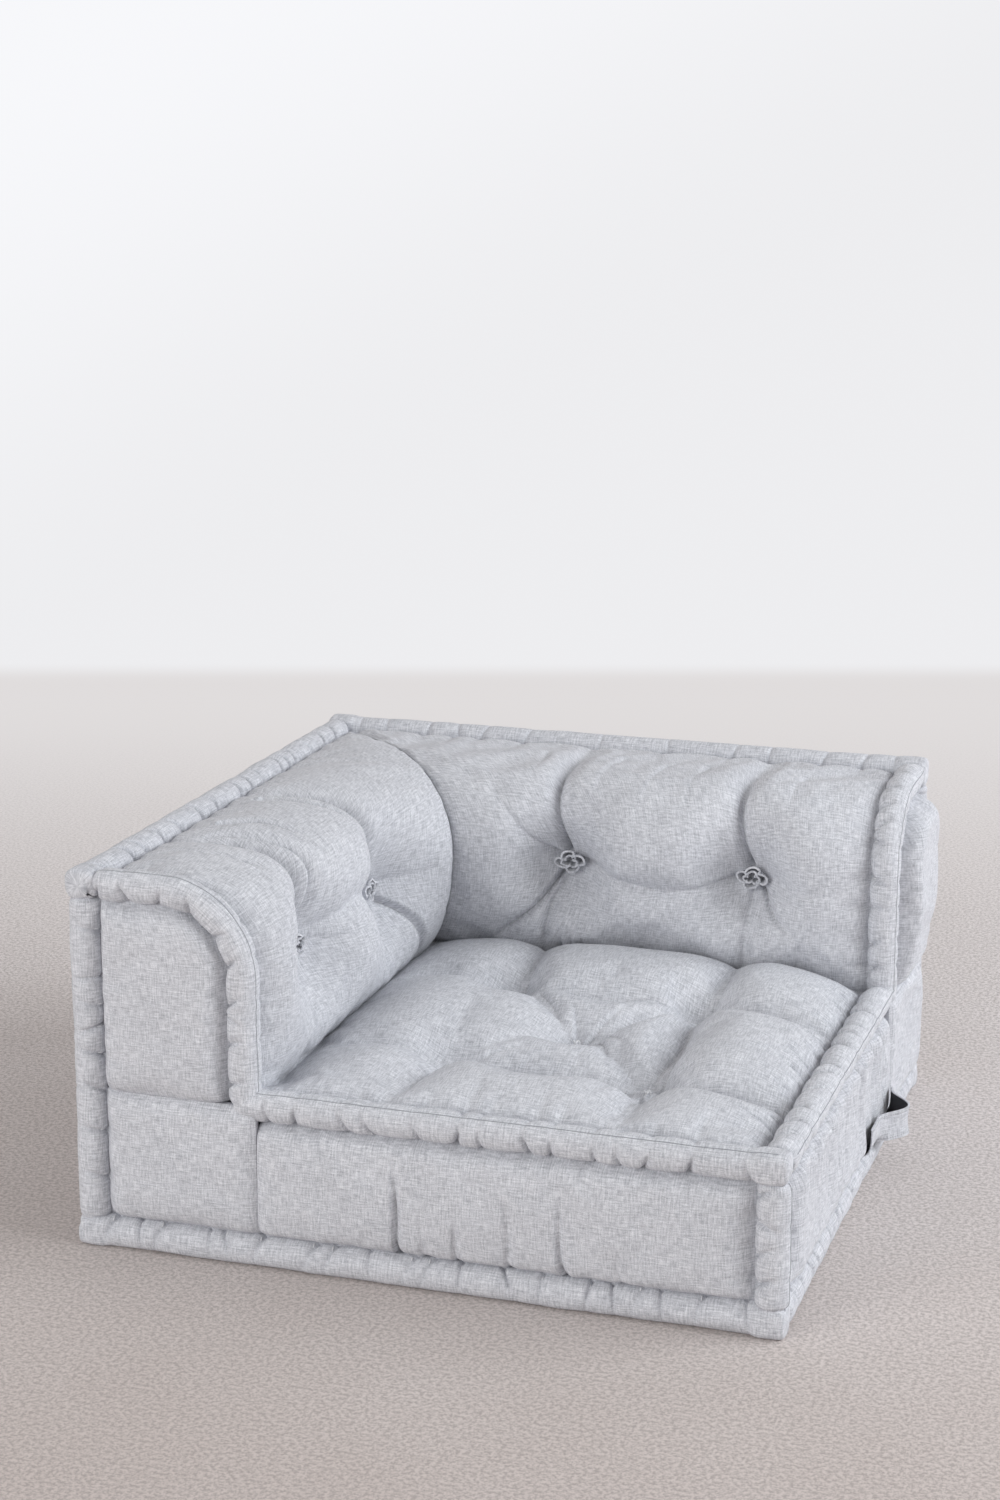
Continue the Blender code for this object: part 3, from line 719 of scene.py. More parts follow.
class Wing:
    """One bolster with the mattress under it, in its own axes.

    s runs along it from the corner, t inwards from its outer face, z up. Its free end is the plane
    s = length."""

    def __init__(self, name, length, span, along, across, seed):
        self.name = name
        self.length = length
        self.span = span
        self.along = np.array(along, dtype=float)
        self.across = np.array(across, dtype=float)
        self.seed = seed
        self.end = length - EDGE
        middle = (length - EDGE + BOLSTER_AXIS + GAP) / 2 + ROSETTE_SHIFT
        self.tufts = [(middle + side * TUFT_SPACING / 2, ROSETTE_RUN) for side in (-1, 1)]

    def place(self, s, t, z):
        """World points of local ones."""
        s, t, z = np.broadcast_arrays(s, t, z)
        return CORNER + s[:, None] * self.along + t[:, None] * self.across + z[:, None] * UP

    def profile(self, run):
        """Point (t, z) and outward normal of the inner cover's axis line, a run below the top roll."""
        turn = np.clip((run - TOP_RUN) / ROUND_AXIS, 0.0, math.pi / 2)
        across, up = np.sin(turn), np.cos(turn)
        flat = np.minimum(run, TOP_RUN)
        fall = np.maximum(run - TOP_RUN - ROUND_RUN, 0.0)
        t = EDGE + flat + ROUND_AXIS * across
        z = TOP_AXIS - ROUND_AXIS + ROUND_AXIS * up - fall
        return t, z, across, up

    def bulge(self, s, run):
        """How far the inner cover stands out of its axis line, without its tufts."""
        from_end = share_of(self.end - s, 0.0, BOLSTER_RISE)
        across = self.profile(run)[2]
        facing_seat = BOLSTER_TOP_SHARE + (1 - BOLSTER_TOP_SHARE) * across**2
        along = 1 - (1 - from_end) ** SWELL_POWER
        return BOLSTER_CROWN * facing_seat * swell(share_of(run, 0, COVER_RUN), 0, 0) * along

    def mitre(self, run):
        """Where the inner cover meets the diagonal plane s = t."""
        t, z, across, up = self.profile(run)
        out = self.bulge(np.full(run.shape, MITRE_REACH), run) - MITRE_DIP
        return t + across * out + GAP

    def outer_bulge(self, s, z):
        along = swell(share_of(s, EDGE, self.end), 0, 0)
        low = swell(share_of(z, BASE_AXIS + SEAM, SEAT_AXIS), 0, SEAM_LEVEL)
        high = swell(share_of(z, SEAT_AXIS, TOP_AXIS - SEAM), SEAM_LEVEL, 0)
        return BAND_CROWN * along * np.where(z < SEAT_AXIS, low, high)

    def cap_edge(self, z, beyond=0.0):
        """Inner limit (t) of the end cap at this height."""
        above = np.maximum(z - (TOP_AXIS - ROUND_AXIS), 0.0)
        reach = ROUND_AXIS - SEAM + beyond
        return BOLSTER_AXIS - ROUND_AXIS + np.sqrt(np.maximum(0.0, reach**2 - above**2))


# The side wing's free end is the seat's front, the back wing's free end is the seat's right side
SIDE = Wing("side", DEPTH, WIDTH, (0, -1, 0), (1, 0, 0), 1)
BACK = Wing("back", WIDTH, DEPTH, (1, 0, 0), (0, -1, 0), 2)

# Places of the stitches, by the roll they draw in
STITCHES = {
    "side_top": Stitches(3, 0.0, DEPTH, 0.046, must=(DEPTH - EAR,)),
    "back_top": Stitches(4, 0.0, WIDTH, 0.068, must=(WIDTH - EAR,), lean=0.25),
    "side_end": Stitches(5, 0.0, COVER_RUN, 0.031),
    "back_end": Stitches(6, 0.0, COVER_RUN, 0.036),
    "front_top": Stitches(7, BOLSTER_AXIS - 0.012, WIDTH, 0.052, must=(WIDTH - EAR,)),
    "right_top": Stitches(8, BOLSTER_AXIS - 0.020, DEPTH, 0.048),
    "front_bottom": Stitches(9, 0.0, WIDTH, 0.042, must=(EAR, BOLSTER_THICKNESS, WIDTH - EAR)),
    "right_bottom": Stitches(10, 0.0, DEPTH, 0.036, must=(BOLSTER_THICKNESS,)),
    "left_bottom": Stitches(11, 0.0, DEPTH, 0.034),
    "rear_bottom": Stitches(12, 0.0, WIDTH, 0.034, must=(EAR, WIDTH - EAR)),
    "front_left": Stitches(13, 0.0, BACK_HEIGHT, 0.044, must=(SEAT_AXIS,)),
    "rear_left": Stitches(14, 0.0, BACK_HEIGHT, 0.044, must=(SEAT_AXIS,)),
    "rear_right": Stitches(15, 0.0, BACK_HEIGHT, 0.04, must=(SEAT_AXIS,)),
    "front_right": Stitches(16, 0.0, SEAT_HEIGHT, 0.036),
}
END_ROLLS = {
    "side": {"top": "front_top", "bottom": "front_bottom", "outer": "front_left", "inner": "front_right"},
    "back": {"top": "right_top", "bottom": "right_bottom", "outer": "rear_right", "inner": "front_right"},
}

# Valleys of the bolsters' inner covers: (tuft, steps along and down from it, depth where it begins and where
# it ends, reach)
COVER_VALLEYS = {
    "side": [
        (0, [(0, 0), (0.002, -0.07), (0.012, -0.15), (0.016, -0.23)], 0.040, 0.010, 0.05),
        (1, [(0, 0), (-0.008, -0.07), (-0.004, -0.15), (0.004, -0.23)], 0.040, 0.010, 0.05),
        (0, [(0, 0), (0.07, -0.018), (0.14, -0.022), (0.24, 0.0)], 0.044, 0.040, 0.085),
        (0, [(0, 0), (-0.05, 0.04), (-0.11, 0.12)], 0.018, 0.006, 0.03),
        (0, [(0, 0), (-0.06, 0.0), (-0.13, -0.01)], 0.016, 0.0, 0.05),
        (1, [(0, 0), (0.03, 0.05), (0.05, 0.12)], 0.020, 0.0, 0.06),
        (1, [(0, 0), (0.05, -0.015), (0.12, -0.034)], 0.036, 0.010, 0.07),
    ],
    "back": [
        (0, [(0, 0), (-0.010, -0.06), (-0.017, -0.11), (-0.018, -0.23)], 0.032, 0.008, 0.036),
        (0, [(0, 0), (-0.045, -0.035), (-0.11, -0.08)], 0.020, 0.0, 0.04),
        (0, [(0, 0), (-0.04, 0.05), (-0.10, 0.105)], 0.026, 0.006, 0.034),
        (0, [(0, 0), (-0.020, 0.06), (-0.03, 0.125)], 0.022, 0.010, 0.036),
        (0, [(0, 0), (0.12, 0.014), (0.24, 0.0)], 0.016, 0.016, 0.045),
        (1, [(0, 0), (-0.012, -0.05), (-0.018, -0.11), (-0.010, -0.23)], 0.032, 0.008, 0.036),
        (1, [(0, 0), (0.07, 0.0), (0.15, 0.004)], 0.014, 0.002, 0.05),
        (1, [(0, 0), (0.03, 0.035), (0.08, 0.075)], 0.024, 0.0, 0.036),
        (1, [(0, 0), (-0.004, 0.06), (-0.006, 0.125)], 0.018, 0.010, 0.045),
    ],
}
# How wide the tufts' pits are, and how sharply they end at their full depth
PIT_SPREAD = {"side": 0.066, "back": 0.052}
PIT_POWER = 6

# How much deeper the covers' folds are than their table says
FOLD_FORCE = 1.5

# Sharp folds of the same covers: (tuft, steps along and down from it, depth, width)
COVER_FOLDS = {
    "side": [
        (0, [(0.002, -0.014), (0.002, -0.07), (0.014, -0.15), (0.018, -0.20)], 0.015, 0.004),
        (0, [(0.030, -0.17), (0.028, -0.12), (0.022, -0.07)], 0.008, 0.004),
        (0, [(-0.012, 0.006), (-0.05, 0.035), (-0.085, 0.075), (-0.115, 0.118)], 0.016, 0.0032),
        (0, [(-0.014, -0.002), (-0.05, -0.002), (-0.10, -0.01)], 0.004, 0.006),
        (0, [(0.06, -0.19), (0.062, -0.14), (0.052, -0.085)], 0.008, 0.0045),
        (1, [(-0.002, -0.014), (-0.010, -0.07), (-0.002, -0.14), (0.004, -0.20)], 0.014, 0.004),
        (1, [(-0.014, -0.02), (-0.034, -0.08), (-0.028, -0.14), (-0.016, -0.19)], 0.011, 0.004),
        (1, [(-0.06, -0.19), (-0.075, -0.14), (-0.072, -0.09)], 0.007, 0.0045),
        (1, [(0.06, -0.11), (0.065, -0.16), (0.07, -0.21)], 0.004, 0.006),
        (1, [(-0.016, 0.0), (-0.07, 0.008), (-0.12, 0.006)], 0.005, 0.008),
    ],
    "back": [
        (0, [(-0.002, -0.012), (-0.008, -0.04), (-0.016, -0.075), (-0.017, -0.12)], 0.016, 0.0036),
        (0, [(-0.013, -0.006), (-0.04, -0.028), (-0.075, -0.055)], 0.008, 0.0035),
        (0, [(-0.013, 0.0), (-0.035, -0.012), (-0.06, -0.02)], 0.005, 0.004),
        (0, [(-0.010, 0.010), (-0.035, 0.05), (-0.057, 0.07), (-0.10, 0.105)], 0.016, 0.0032),
        (0, [(-0.006, 0.014), (-0.022, 0.06), (-0.028, 0.115)], 0.009, 0.004),
        (0, [(-0.004, 0.115), (-0.004, 0.095), (-0.006, 0.07)], 0.006, 0.004),
        (0, [(0.008, 0.118), (0.010, 0.098), (0.008, 0.08)], 0.006, 0.004),
        (0, [(0.022, 0.12), (0.026, 0.10), (0.026, 0.08)], 0.005, 0.004),
        (0, [(0.015, 0.0), (0.07, 0.006), (0.12, 0.014), (0.16, 0.018)], 0.007, 0.004),
        (0, [(0.045, -0.17), (0.038, -0.11), (0.036, -0.06)], 0.0024, 0.005),
        (0, [(0.115, -0.17), (0.105, -0.11), (0.10, -0.05)], 0.0022, 0.005),
        (0, [(-0.06, -0.16), (-0.055, -0.12), (-0.055, -0.08)], 0.0022, 0.006),
        (1, [(-0.001, -0.012), (-0.008, -0.04), (-0.013, -0.08), (-0.010, -0.13)], 0.016, 0.0036),
        (1, [(-0.015, 0.0), (-0.07, 0.012), (-0.14, 0.016)], 0.007, 0.004),
        (1, [(0.014, 0.002), (0.06, 0.006), (0.13, 0.006)], 0.004, 0.005),
        (1, [(0.008, 0.010), (0.025, 0.035), (0.042, 0.05), (0.06, 0.06)], 0.011, 0.0032),
        (1, [(0.0, 0.014), (-0.003, 0.06), (-0.004, 0.115)], 0.006, 0.005),
        (1, [(0.05, -0.15), (0.046, -0.11), (0.05, -0.07)], 0.0022, 0.006),
        (1, [(-0.08, -0.15), (-0.085, -0.11), (-0.08, -0.06)], 0.0020, 0.006),
    ],
}


# Near its edges a cover's hollows and folds fade out
COVER_EDGE_POWER = 8
SEAT_EDGE_POWER = 9
MITRE_FADE = 0.05
EDGE_FADE = 0.02


def from_tufts(entries, tufts):
    """Lines given from tufts, in the coordinates of their cover, with what else belongs to them."""
    for tuft, steps, *rest in entries:
        first, second = tufts[tuft]
        yield [(first + a, second + b) for a, b in steps], *rest


def tuft_distance(first, second, tufts):
    """Distance to the nearest tuft."""
    return np.min([np.hypot(first - a, second - b) for a, b in tufts], axis=0)


def cover_hollows(wing, s, run):
    """How deep the tufts and valleys of a bolster's inner cover are; they die out at its edges."""
    valleys = [valley(s, run, *entry) for entry in from_tufts(COVER_VALLEYS[wing.name], wing.tufts)]
    away = tuft_distance(s, run, wing.tufts)
    pit = ROSETTE_DEPTH * np.exp(-((away / PIT_SPREAD[wing.name]) ** 2))
    pit = pit / (1 + (pit / ROSETTE_NECK) ** PIT_POWER) ** (1 / PIT_POWER)
    return hollows(pit, away, valleys) * cover_inside(wing, s, run)


def cover_inside(wing, s, run):
    """1 well inside a bolster's inner cover, 0 at its edges."""
    up = swell(share_of(run, 0, COVER_RUN), 0, 0, COVER_EDGE_POWER)
    along = 1 - (1 - share_of(wing.end - s, 0.0, BOLSTER_RISE)) ** SWELL_POWER
    return up * along * smooth(share_of(s - wing.mitre(run), 0, MITRE_FADE))


def cover_folds(wing, s, run):
    """Depth of the sharp folds of a bolster's inner cover."""
    lines = list(from_tufts(COVER_FOLDS[wing.name], wing.tufts))
    inside = smooth(share_of(s - wing.mitre(run), 0, EDGE_FADE))
    return FOLD_FORCE * folds(s, run, lines) * (inside * smooth(share_of(wing.end - s, 0, EDGE_FADE)))


def cover_shape(wing, s, run):
    """How far a bolster's inner cover stands out, with its tufts, valleys and stitched edges."""
    from_mitre = s - wing.mitre(run)
    out = wing.bulge(s, run) - MITRE_DIP * np.exp(-np.maximum(from_mitre, 0) / MITRE_DIP_REACH)
    uneven = plump(np.minimum(run, wing.end - s)) - cover_hollows(wing, s, run)
    uneven += waves(s, run, COVER_WAVES, wing.seed)
    uneven -= STITCHES[f"{wing.name}_top"].pucker(s, run, *COVER_TOP_PUCKER)
    uneven -= STITCHES[f"{wing.name}_end"].pucker(run, wing.end - s, *COVER_END_PUCKER)
    return out + uneven * smooth(share_of(from_mitre, 0, EDGE_FADE))


def bolster_cushion(wing):
    """The bolster's crowned inner side, mitred in the corner, closed along its outer face."""

    def local(u, v):
        run = -TUCK + v * (COVER_RUN + 2 * TUCK)
        s = wing.mitre(run)
        return s + u * (wing.end + TUCK - s), run

    def place(u, v):
        s, run = local(u, v)
        t, z, across, up = wing.profile(run)
        out = cover_shape(wing, s, run)
        return wing.place(s, t + across * out, z + up * out)

    span = (wing.end - EDGE, COVER_RUN)
    piece, u, v = cloth_grid(f"{wing.name}_cushion", cells_of(span), place, span, LINEN)
    s, run = local(u, v)
    note_place(piece, s, run)
    under = (u < RIM) | (s > wing.end) | (run < 0) | (run > COVER_RUN)
    held = under | (tuft_distance(s, run, wing.tufts) < COVER_TUFT_HOLD)
    weights = hold_weights(held, cover_hollows(wing, s, run), COVER_HOLLOW)
    settle(piece, weights, slack=0.010, pressure=2.0)
    refine(piece)

    def sink(s, run):
        across, up = wing.profile(run)[2:]
        return -cover_folds(wing, s, run)[:, None] * (across[:, None] * wing.across + up[:, None] * UP)

    press(piece, sink)
    wall = ROLL_RADIUS + CLOTH + GAP
    across = Vector(wing.across)

    def behind(point):
        back = point + across * (wall - (point - Vector(CORNER)).dot(across))
        back.z = min(back.z, TOP_AXIS - 2 * ROLL_RADIUS)
        return back

    close_behind(piece, behind)
    ride(piece, "cover_cloth", f"{wing.name}_inner_panel", f"{wing.name}_bolster_fill")


# Places of the seat's tufts
SEAT_TUFTS = {
    "rear_left": (SEAT_MIDDLE[0] - TUFT_SPACING / 2, SEAT_MIDDLE[1] + TUFT_SPACING / 2),
    "rear_right": (SEAT_MIDDLE[0] + TUFT_SPACING / 2, SEAT_MIDDLE[1] + TUFT_SPACING / 2),
    "front_left": (SEAT_MIDDLE[0] - TUFT_SPACING / 2, SEAT_MIDDLE[1] - TUFT_SPACING / 2),
    "front_right": (SEAT_MIDDLE[0] + TUFT_SPACING / 2, SEAT_MIDDLE[1] - TUFT_SPACING / 2),
    "middle": SEAT_MIDDLE,
}

# Valleys of the seat: (tuft, steps in x and y from it, depth where it begins and ends, reach)
SEAT_VALLEYS = [
    ("rear_left", [(0, 0), (0.004, 0.07), (-0.008, 0.19)], 0.034, 0.016, 0.055),
    ("rear_right", [(0, 0), (0.010, 0.06), (0.010, 0.19)], 0.034, 0.016, 0.055),
    ("rear_right", [(0, 0), (0.075, -0.028), (0.19, -0.035)], 0.038, 0.022, 0.065),
    ("front_right", [(0, 0), (0.075, -0.024), (0.19, -0.03)], 0.040, 0.026, 0.065),
    ("front_right", [(0, 0), (0.008, -0.06), (0.012, -0.18)], 0.046, 0.016, 0.085),
    ("front_left", [(0, 0), (-0.006, -0.06), (-0.012, -0.18)], 0.040, 0.012, 0.075),
    ("front_left", [(0, 0), (-0.075, -0.005), (-0.17, -0.02)], 0.022, 0.008, 0.07),
    ("rear_left", [(0, 0), (-0.075, -0.005), (-0.17, -0.02)], 0.022, 0.008, 0.07),
    ("front_left", [(0, 0), (0.12, -0.012), (0.24, 0)], 0.036, 0.036, 0.075),
    ("front_left", [(0, 0), (-0.012, 0.12), (0, 0.24)], 0.010, 0.008, 0.07),
    ("front_right", [(0, 0), (0.006, 0.12), (0, 0.24)], 0.030, 0.040, 0.055),
    ("rear_left", [(0, 0), (0.12, -0.012), (0.24, 0)], 0.022, 0.022, 0.05),
    ("middle", [(0, 0), (-0.05, 0.055), (-0.12, 0.12)], 0.008, 0.024, 0.06),
    ("middle", [(0, 0), (0.055, 0.05), (0.12, 0.12)], 0.022, 0.018, 0.04),
    ("middle", [(0, 0), (-0.055, -0.05), (-0.12, -0.12)], 0.005, 0.010, 0.06),
    ("middle", [(0, 0), (0.06, -0.05), (0.12, -0.12)], 0.010, 0.030, 0.07),
]

# Sharp folds of the seat: (tuft, steps in x and y from it, depth, width)
SEAT_FOLDS = [
    ("rear_left", [(0.012, 0.004), (0.010, 0.07), (-0.004, 0.16)], 0.007, 0.005),
    ("rear_left", [(-0.012, -0.012), (0.03, -0.018), (0.09, -0.03)], 0.006, 0.005),
    ("rear_left", [(0.05, -0.03), (0.075, -0.06), (0.10, -0.105)], 0.006, 0.004),
    ("rear_right", [(0.012, 0.010), (0.018, 0.06), (0.012, 0.16)], 0.007, 0.005),
    ("rear_right", [(0.010, -0.010), (0.06, -0.03), (0.13, -0.036)], 0.008, 0.005),
    ("rear_right", [(-0.012, -0.004), (-0.04, 0.01), (-0.08, 0.016)], 0.005, 0.006),
    ("front_left", [(0.012, -0.010), (0.05, -0.022), (0.09, -0.02)], 0.006, 0.005),
    ("front_left", [(0.02, 0.012), (0.05, 0.03), (0.085, 0.05)], 0.005, 0.004),
    ("front_left", [(-0.004, -0.012), (-0.008, -0.08), (0.0, -0.15)], 0.006, 0.005),
    ("front_right", [(0.012, 0.012), (0.014, 0.07), (0.008, 0.15)], 0.008, 0.005),
    ("front_right", [(0.012, -0.008), (0.07, -0.024), (0.13, -0.03)], 0.008, 0.005),
    ("front_right", [(-0.004, -0.012), (0.0, -0.08), (0.0, -0.15)], 0.007, 0.005),
    ("front_right", [(-0.02, -0.012), (-0.032, -0.07), (-0.04, -0.13)], 0.004, 0.005),
    ("middle", [(0.0, 0.004), (-0.02, -0.006), (-0.05, -0.012)], 0.008, 0.004),
    ("middle", [(-0.002, 0.006), (-0.010, 0.035), (-0.026, 0.07)], 0.008, 0.0035),
    ("middle", [(0.008, 0.008), (0.024, 0.045), (0.044, 0.08)], 0.007, 0.0035),
    ("middle", [(0.006, 0.002), (0.03, 0.012), (0.055, 0.03), (0.085, 0.06)], 0.011, 0.0032),
    ("middle", [(0.026, 0.004), (0.045, -0.03), (0.054, -0.06)], 0.006, 0.0035),
    ("middle", [(0.040, 0.010), (0.062, -0.02), (0.072, -0.055)], 0.005, 0.0035),
    ("middle", [(-0.02, -0.02), (-0.05, -0.04), (-0.075, -0.06)], 0.004, 0.004),
]

# The seat: how steeply it rises from its free edges, how full its rear edge is, over which length a swollen
# edge ends at a corner, how clear it stays of the bolsters, its bowl and its low front
EDGE_POWER = 6
REAR_PLUMP = 1.6
PLUMP_END = 0.1
BOLSTER_CLEAR = 0.001
SEAT_SAG = 0.027
BOWL_SHIFT = (0.02, -0.03)
BOWL_REACH = 0.62 * TUFT_SPACING
FRONT_FALL = 0.011
FRONT_REACH = 0.2
FRONT_EDGE = 0.06

# Its tufts: share and reach of the wide pit and of its narrow middle, and how far they go past the knots
WIDE_PIT = (0.70, 0.045)
NARROW_PIT = (0.30, 0.012)
PIT_MORE = 0.004

# Gathers at its right edge: how unevenly they lie, how far their middle and their end turn to the rear, and
# the ranges of their length, depth and width
GATHER_SHIFT = 0.004
GATHER_TURN = (0.004, 0.012)
GATHER_LENGTH = (0.03, 0.075)
GATHER_DEPTH = (0.003, 0.009)
GATHER_WIDTH = (0.003, 0.005)


def seat_sag(x, y):
    """How far the seat lies lower than its crown: a bowl between the outer tufts, and a low front."""
    middle = np.hypot(x - SEAT_MIDDLE[0] - BOWL_SHIFT[0], y - SEAT_MIDDLE[1] - BOWL_SHIFT[1])
    bowl = SEAT_SAG * np.exp(-((middle / BOWL_REACH) ** 4))
    towards_front = smooth(share_of(SEAT_MIDDLE[1] - y, 0, FRONT_REACH))
    return bowl + FRONT_FALL * towards_front * smooth(share_of(y - SEAT_FRONT, 0, FRONT_EDGE))


def under_bolster(distance):
    """Height over the seat's edge at which a bolster's cover lies, this far in from the edge."""
    share = 1 - share_of(distance, 0, BOLSTER_CROWN)
    return COVER_RUN / 2 * (1 - share ** (1 / SWELL_POWER)) - BOLSTER_CLEAR


def seat_hollows(x, y):
    """How deep the tufts and valleys of the seat are; they die out at its edges."""
    valleys = [valley(x, y, *entry) for entry in from_tufts(SEAT_VALLEYS, SEAT_TUFTS)]
    away = tuft_distance(x, y, SEAT_TUFTS.values())
    pit = WIDE_PIT[0] * np.exp(-((away / WIDE_PIT[1]) ** 2)) + NARROW_PIT[0] * np.exp(-away / NARROW_PIT[1])
    pit = pit * (SEAT_TUFT_DEPTH + PIT_MORE - seat_sag(x, y))
    across = swell(share_of(x, SEAT_LEFT, SEAT_RIGHT), 0, 0, SEAT_EDGE_POWER)
    along = swell(share_of(y, SEAT_FRONT, SEAT_REAR), 0, 0, SEAT_EDGE_POWER)
    return hollows(pit, away, valleys) * across * along


def seat_gathers():
    """Short folds across the right edge of the seat, drawn in by the roll's stitches."""
    draw = random.Random(21)
    marks = STITCHES["right_top"].marks
    for low, high in zip(marks, marks[1:]):
        for share in (0.0, 0.5):
            y = HALF_D - (low + share * (high - low) + draw.uniform(-GATHER_SHIFT, GATHER_SHIFT))
            length = draw.uniform(*GATHER_LENGTH)
            half = (SEAT_RIGHT - length / 2, y + GATHER_TURN[0])
            end = (SEAT_RIGHT - length, y + GATHER_TURN[1])
            yield [(SEAT_RIGHT, y), half, end], draw.uniform(*GATHER_DEPTH), draw.uniform(*GATHER_WIDTH)


def seat_folds(x, y):
    inside = smooth(share_of(np.minimum(SEAT_REAR - y, x - SEAT_LEFT), 0, EDGE_FADE))
    return folds(x, y, [*from_tufts(SEAT_FOLDS, SEAT_TUFTS), *seat_gathers()]) * inside


def seat_shape(x, y):
    """Height of the seat's cover over the rolls' axis plane."""
    across, along = share_of(x, SEAT_LEFT, SEAT_RIGHT), share_of(y, SEAT_FRONT, SEAT_REAR)
    out = swell(np.minimum(across, 0.5), 0, 0, SWELL_POWER + 1)
    out = out * swell(np.maximum(across, 0.5), 0, 0, EDGE_POWER)
    out = SEAT_CROWN * out * swell(along, 0, 0, EDGE_POWER)
    out = out + plump(np.minimum(y - SEAT_FRONT, SEAT_RIGHT - x)) * share_of(SEAT_REAR - y, 0, PLUMP_END)
    out = out + REAR_PLUMP * plump(SEAT_REAR - y) * share_of(SEAT_RIGHT - x, 0, PLUMP_END)
    out = np.minimum(out, under_bolster(SEAT_REAR - y))
    out = out - seat_hollows(x, y) - seat_sag(x, y)
    out = out - STITCHES["front_top"].pucker(x + HALF_W, y - SEAT_FRONT, *SEAT_FRONT_PUCKER)
    out = out - STITCHES["right_top"].pucker(HALF_D - y, SEAT_RIGHT - x, *SEAT_RIGHT_PUCKER)
    return out + waves(x, y, SEAT_WAVES, 3)


def seat_cushion():
    """The mattress top between the bolsters and the free edges, drawn in at its five tufts."""
    left, rear = SEAT_LEFT - TUCK, SEAT_REAR + TUCK
    right, front = SEAT_RIGHT + TUCK, SEAT_FRONT - TUCK

    def local(u, v):
        return left + u * (right - left), front + v * (rear - front)

    def place(u, v):
        x, y = local(u, v)
        return np.stack((x, y, SEAT_AXIS + seat_shape(x, y)), axis=1)

    span = (right - left, rear - front)
    piece, u, v = cloth_grid("seat_cushion", cells_of(span), place, span, LINEN)
    x, y = local(u, v)
    note_place(piece, x, y)
    under = (x < SEAT_LEFT) | (x > SEAT_RIGHT) | (y < SEAT_FRONT) | (y > SEAT_REAR)
    held = under | (tuft_distance(x, y, SEAT_TUFTS.values()) < SEAT_TUFT_HOLD)
    weights = hold_weights(held, seat_hollows(x, y), SEAT_HOLLOW)
    settle(piece, weights, slack=0.012, pressure=2.0)
    refine(piece)
    press(piece, lambda x, y: -seat_folds(x, y)[:, None] * UP)
    close_behind(piece, lambda point: Vector((point.x, point.y, CLOTH + 2 * GAP)))
    ride(piece, "cover_cloth", "seat_top_panel", "seat_fill")


def flat_panel(name, node, size, local, place, shape, inwards, hold, cell=CELL, lines=(), most=PANEL_MOVE):
    """A stuffed upright panel: local maps shares to its own two coordinates, shape gives how far it stands
    out, hold says where it lies under a roll and lines are its sharp folds."""

    def points(u, v):
        a, b = local(u, v)
        return place(a, b, shape(a, b))

    piece, u, v = cloth_grid(name, cells_of(size, cell), points, size, LINEN)
    note_place(piece, *local(u, v))
    held = (u < RIM) | (u > 1 - RIM) | (v < RIM) | (v > 1 - RIM) | hold(*local(u, v))
    weights = np.where(held, 1.0, FREE_HOLD)
    settle(piece, weights, slack=0.006, pressure=1.5, stiffness=1.5, most=most)
    refine(piece)
    press(piece, lambda a, b: (folds(a, b, lines) if lines else 0 * a)[:, None] * np.array(inwards))
    close_behind(piece, lambda point: point + Vector(inwards) * PANEL_DEPTH)
    ride(piece, "cover_cloth", node)


# Upright folds of the bands: (place along it, foot, top, depth, width)
BAND_FOLDS = {
    "side": [
        (0.394, 0.036, 0.165, 0.013, 0.003),
        (0.425, 0.036, 0.11, 0.005, 0.005),
        (0.456, 0.036, 0.115, 0.010, 0.003),
        (0.526, 0.036, 0.13, 0.007, 0.0035),
        (0.580, 0.036, 0.15, 0.012, 0.003),
        (0.645, 0.036, 0.09, 0.004, 0.006),
        (0.330, 0.036, 0.08, 0.004, 0.006),
        (0.300, 0.174, 0.13, 0.004, 0.006),
        (0.480, 0.174, 0.13, 0.004, 0.005),
        (0.610, 0.174, 0.14, 0.005, 0.005),
        (0.700, 0.174, 0.12, 0.004, 0.006),
    ],
    "back": [(0.25 + 0.043 * step, 0.174, 0.040, 0.021, 0.009) for step in range(13)],
}

# How unevenly those folds lie, how much they bend, and the range of what deepens them
BAND_FOLD_SHIFT = 0.007
BAND_FOLD_BEND = 0.004
BAND_FOLD_FORCE = (0.7, 1.5)

# How steeply bands and caps rise from their edges, the least width of a cap's head, and the level of the
# bands at the upright seam between them
BAND_POWER = 11
CAP_POWER = 12
CAP_LEAST = 0.01
UPRIGHT_LEVEL = 0.8

# How much fuller the back bolster's end is at its foot, how much more at its head, and over which height
FULLER_FOOT = 0.3
FULLER_HEAD = 0.5
FULLER_RISE = 0.1


def band_bulge(wing, t, z):
    """How far the mattress band of a wing's free end stands out of the rolls' axis plane."""
    up = swell(share_of(z, BASE_AXIS + SEAM, SEAT_AXIS - SEAM), 0, 0, BAND_POWER)
    along = share_of(t, BOLSTER_THICKNESS, wing.span - EDGE)
    return BAND_CROWN * up * swell(along, UPRIGHT_LEVEL, 0, 2 * BAND_POWER)


def fuller_cap(wing, z):
    """How much fuller than its crown the back bolster's cap is."""
    risen = smooth(share_of(z, SEAT_AXIS, SEAT_AXIS + FULLER_RISE))
    return FULLER_FOOT + FULLER_HEAD * risen if wing is BACK else 0.0


def fuller_corner(wing, t):
    """How much fuller than its crown the panel under that cap is, away from its upright seam."""
    return FULLER_FOOT * (1 - smooth(share_of(t, EDGE, BOLSTER_THICKNESS))) if wing is BACK else 0.0


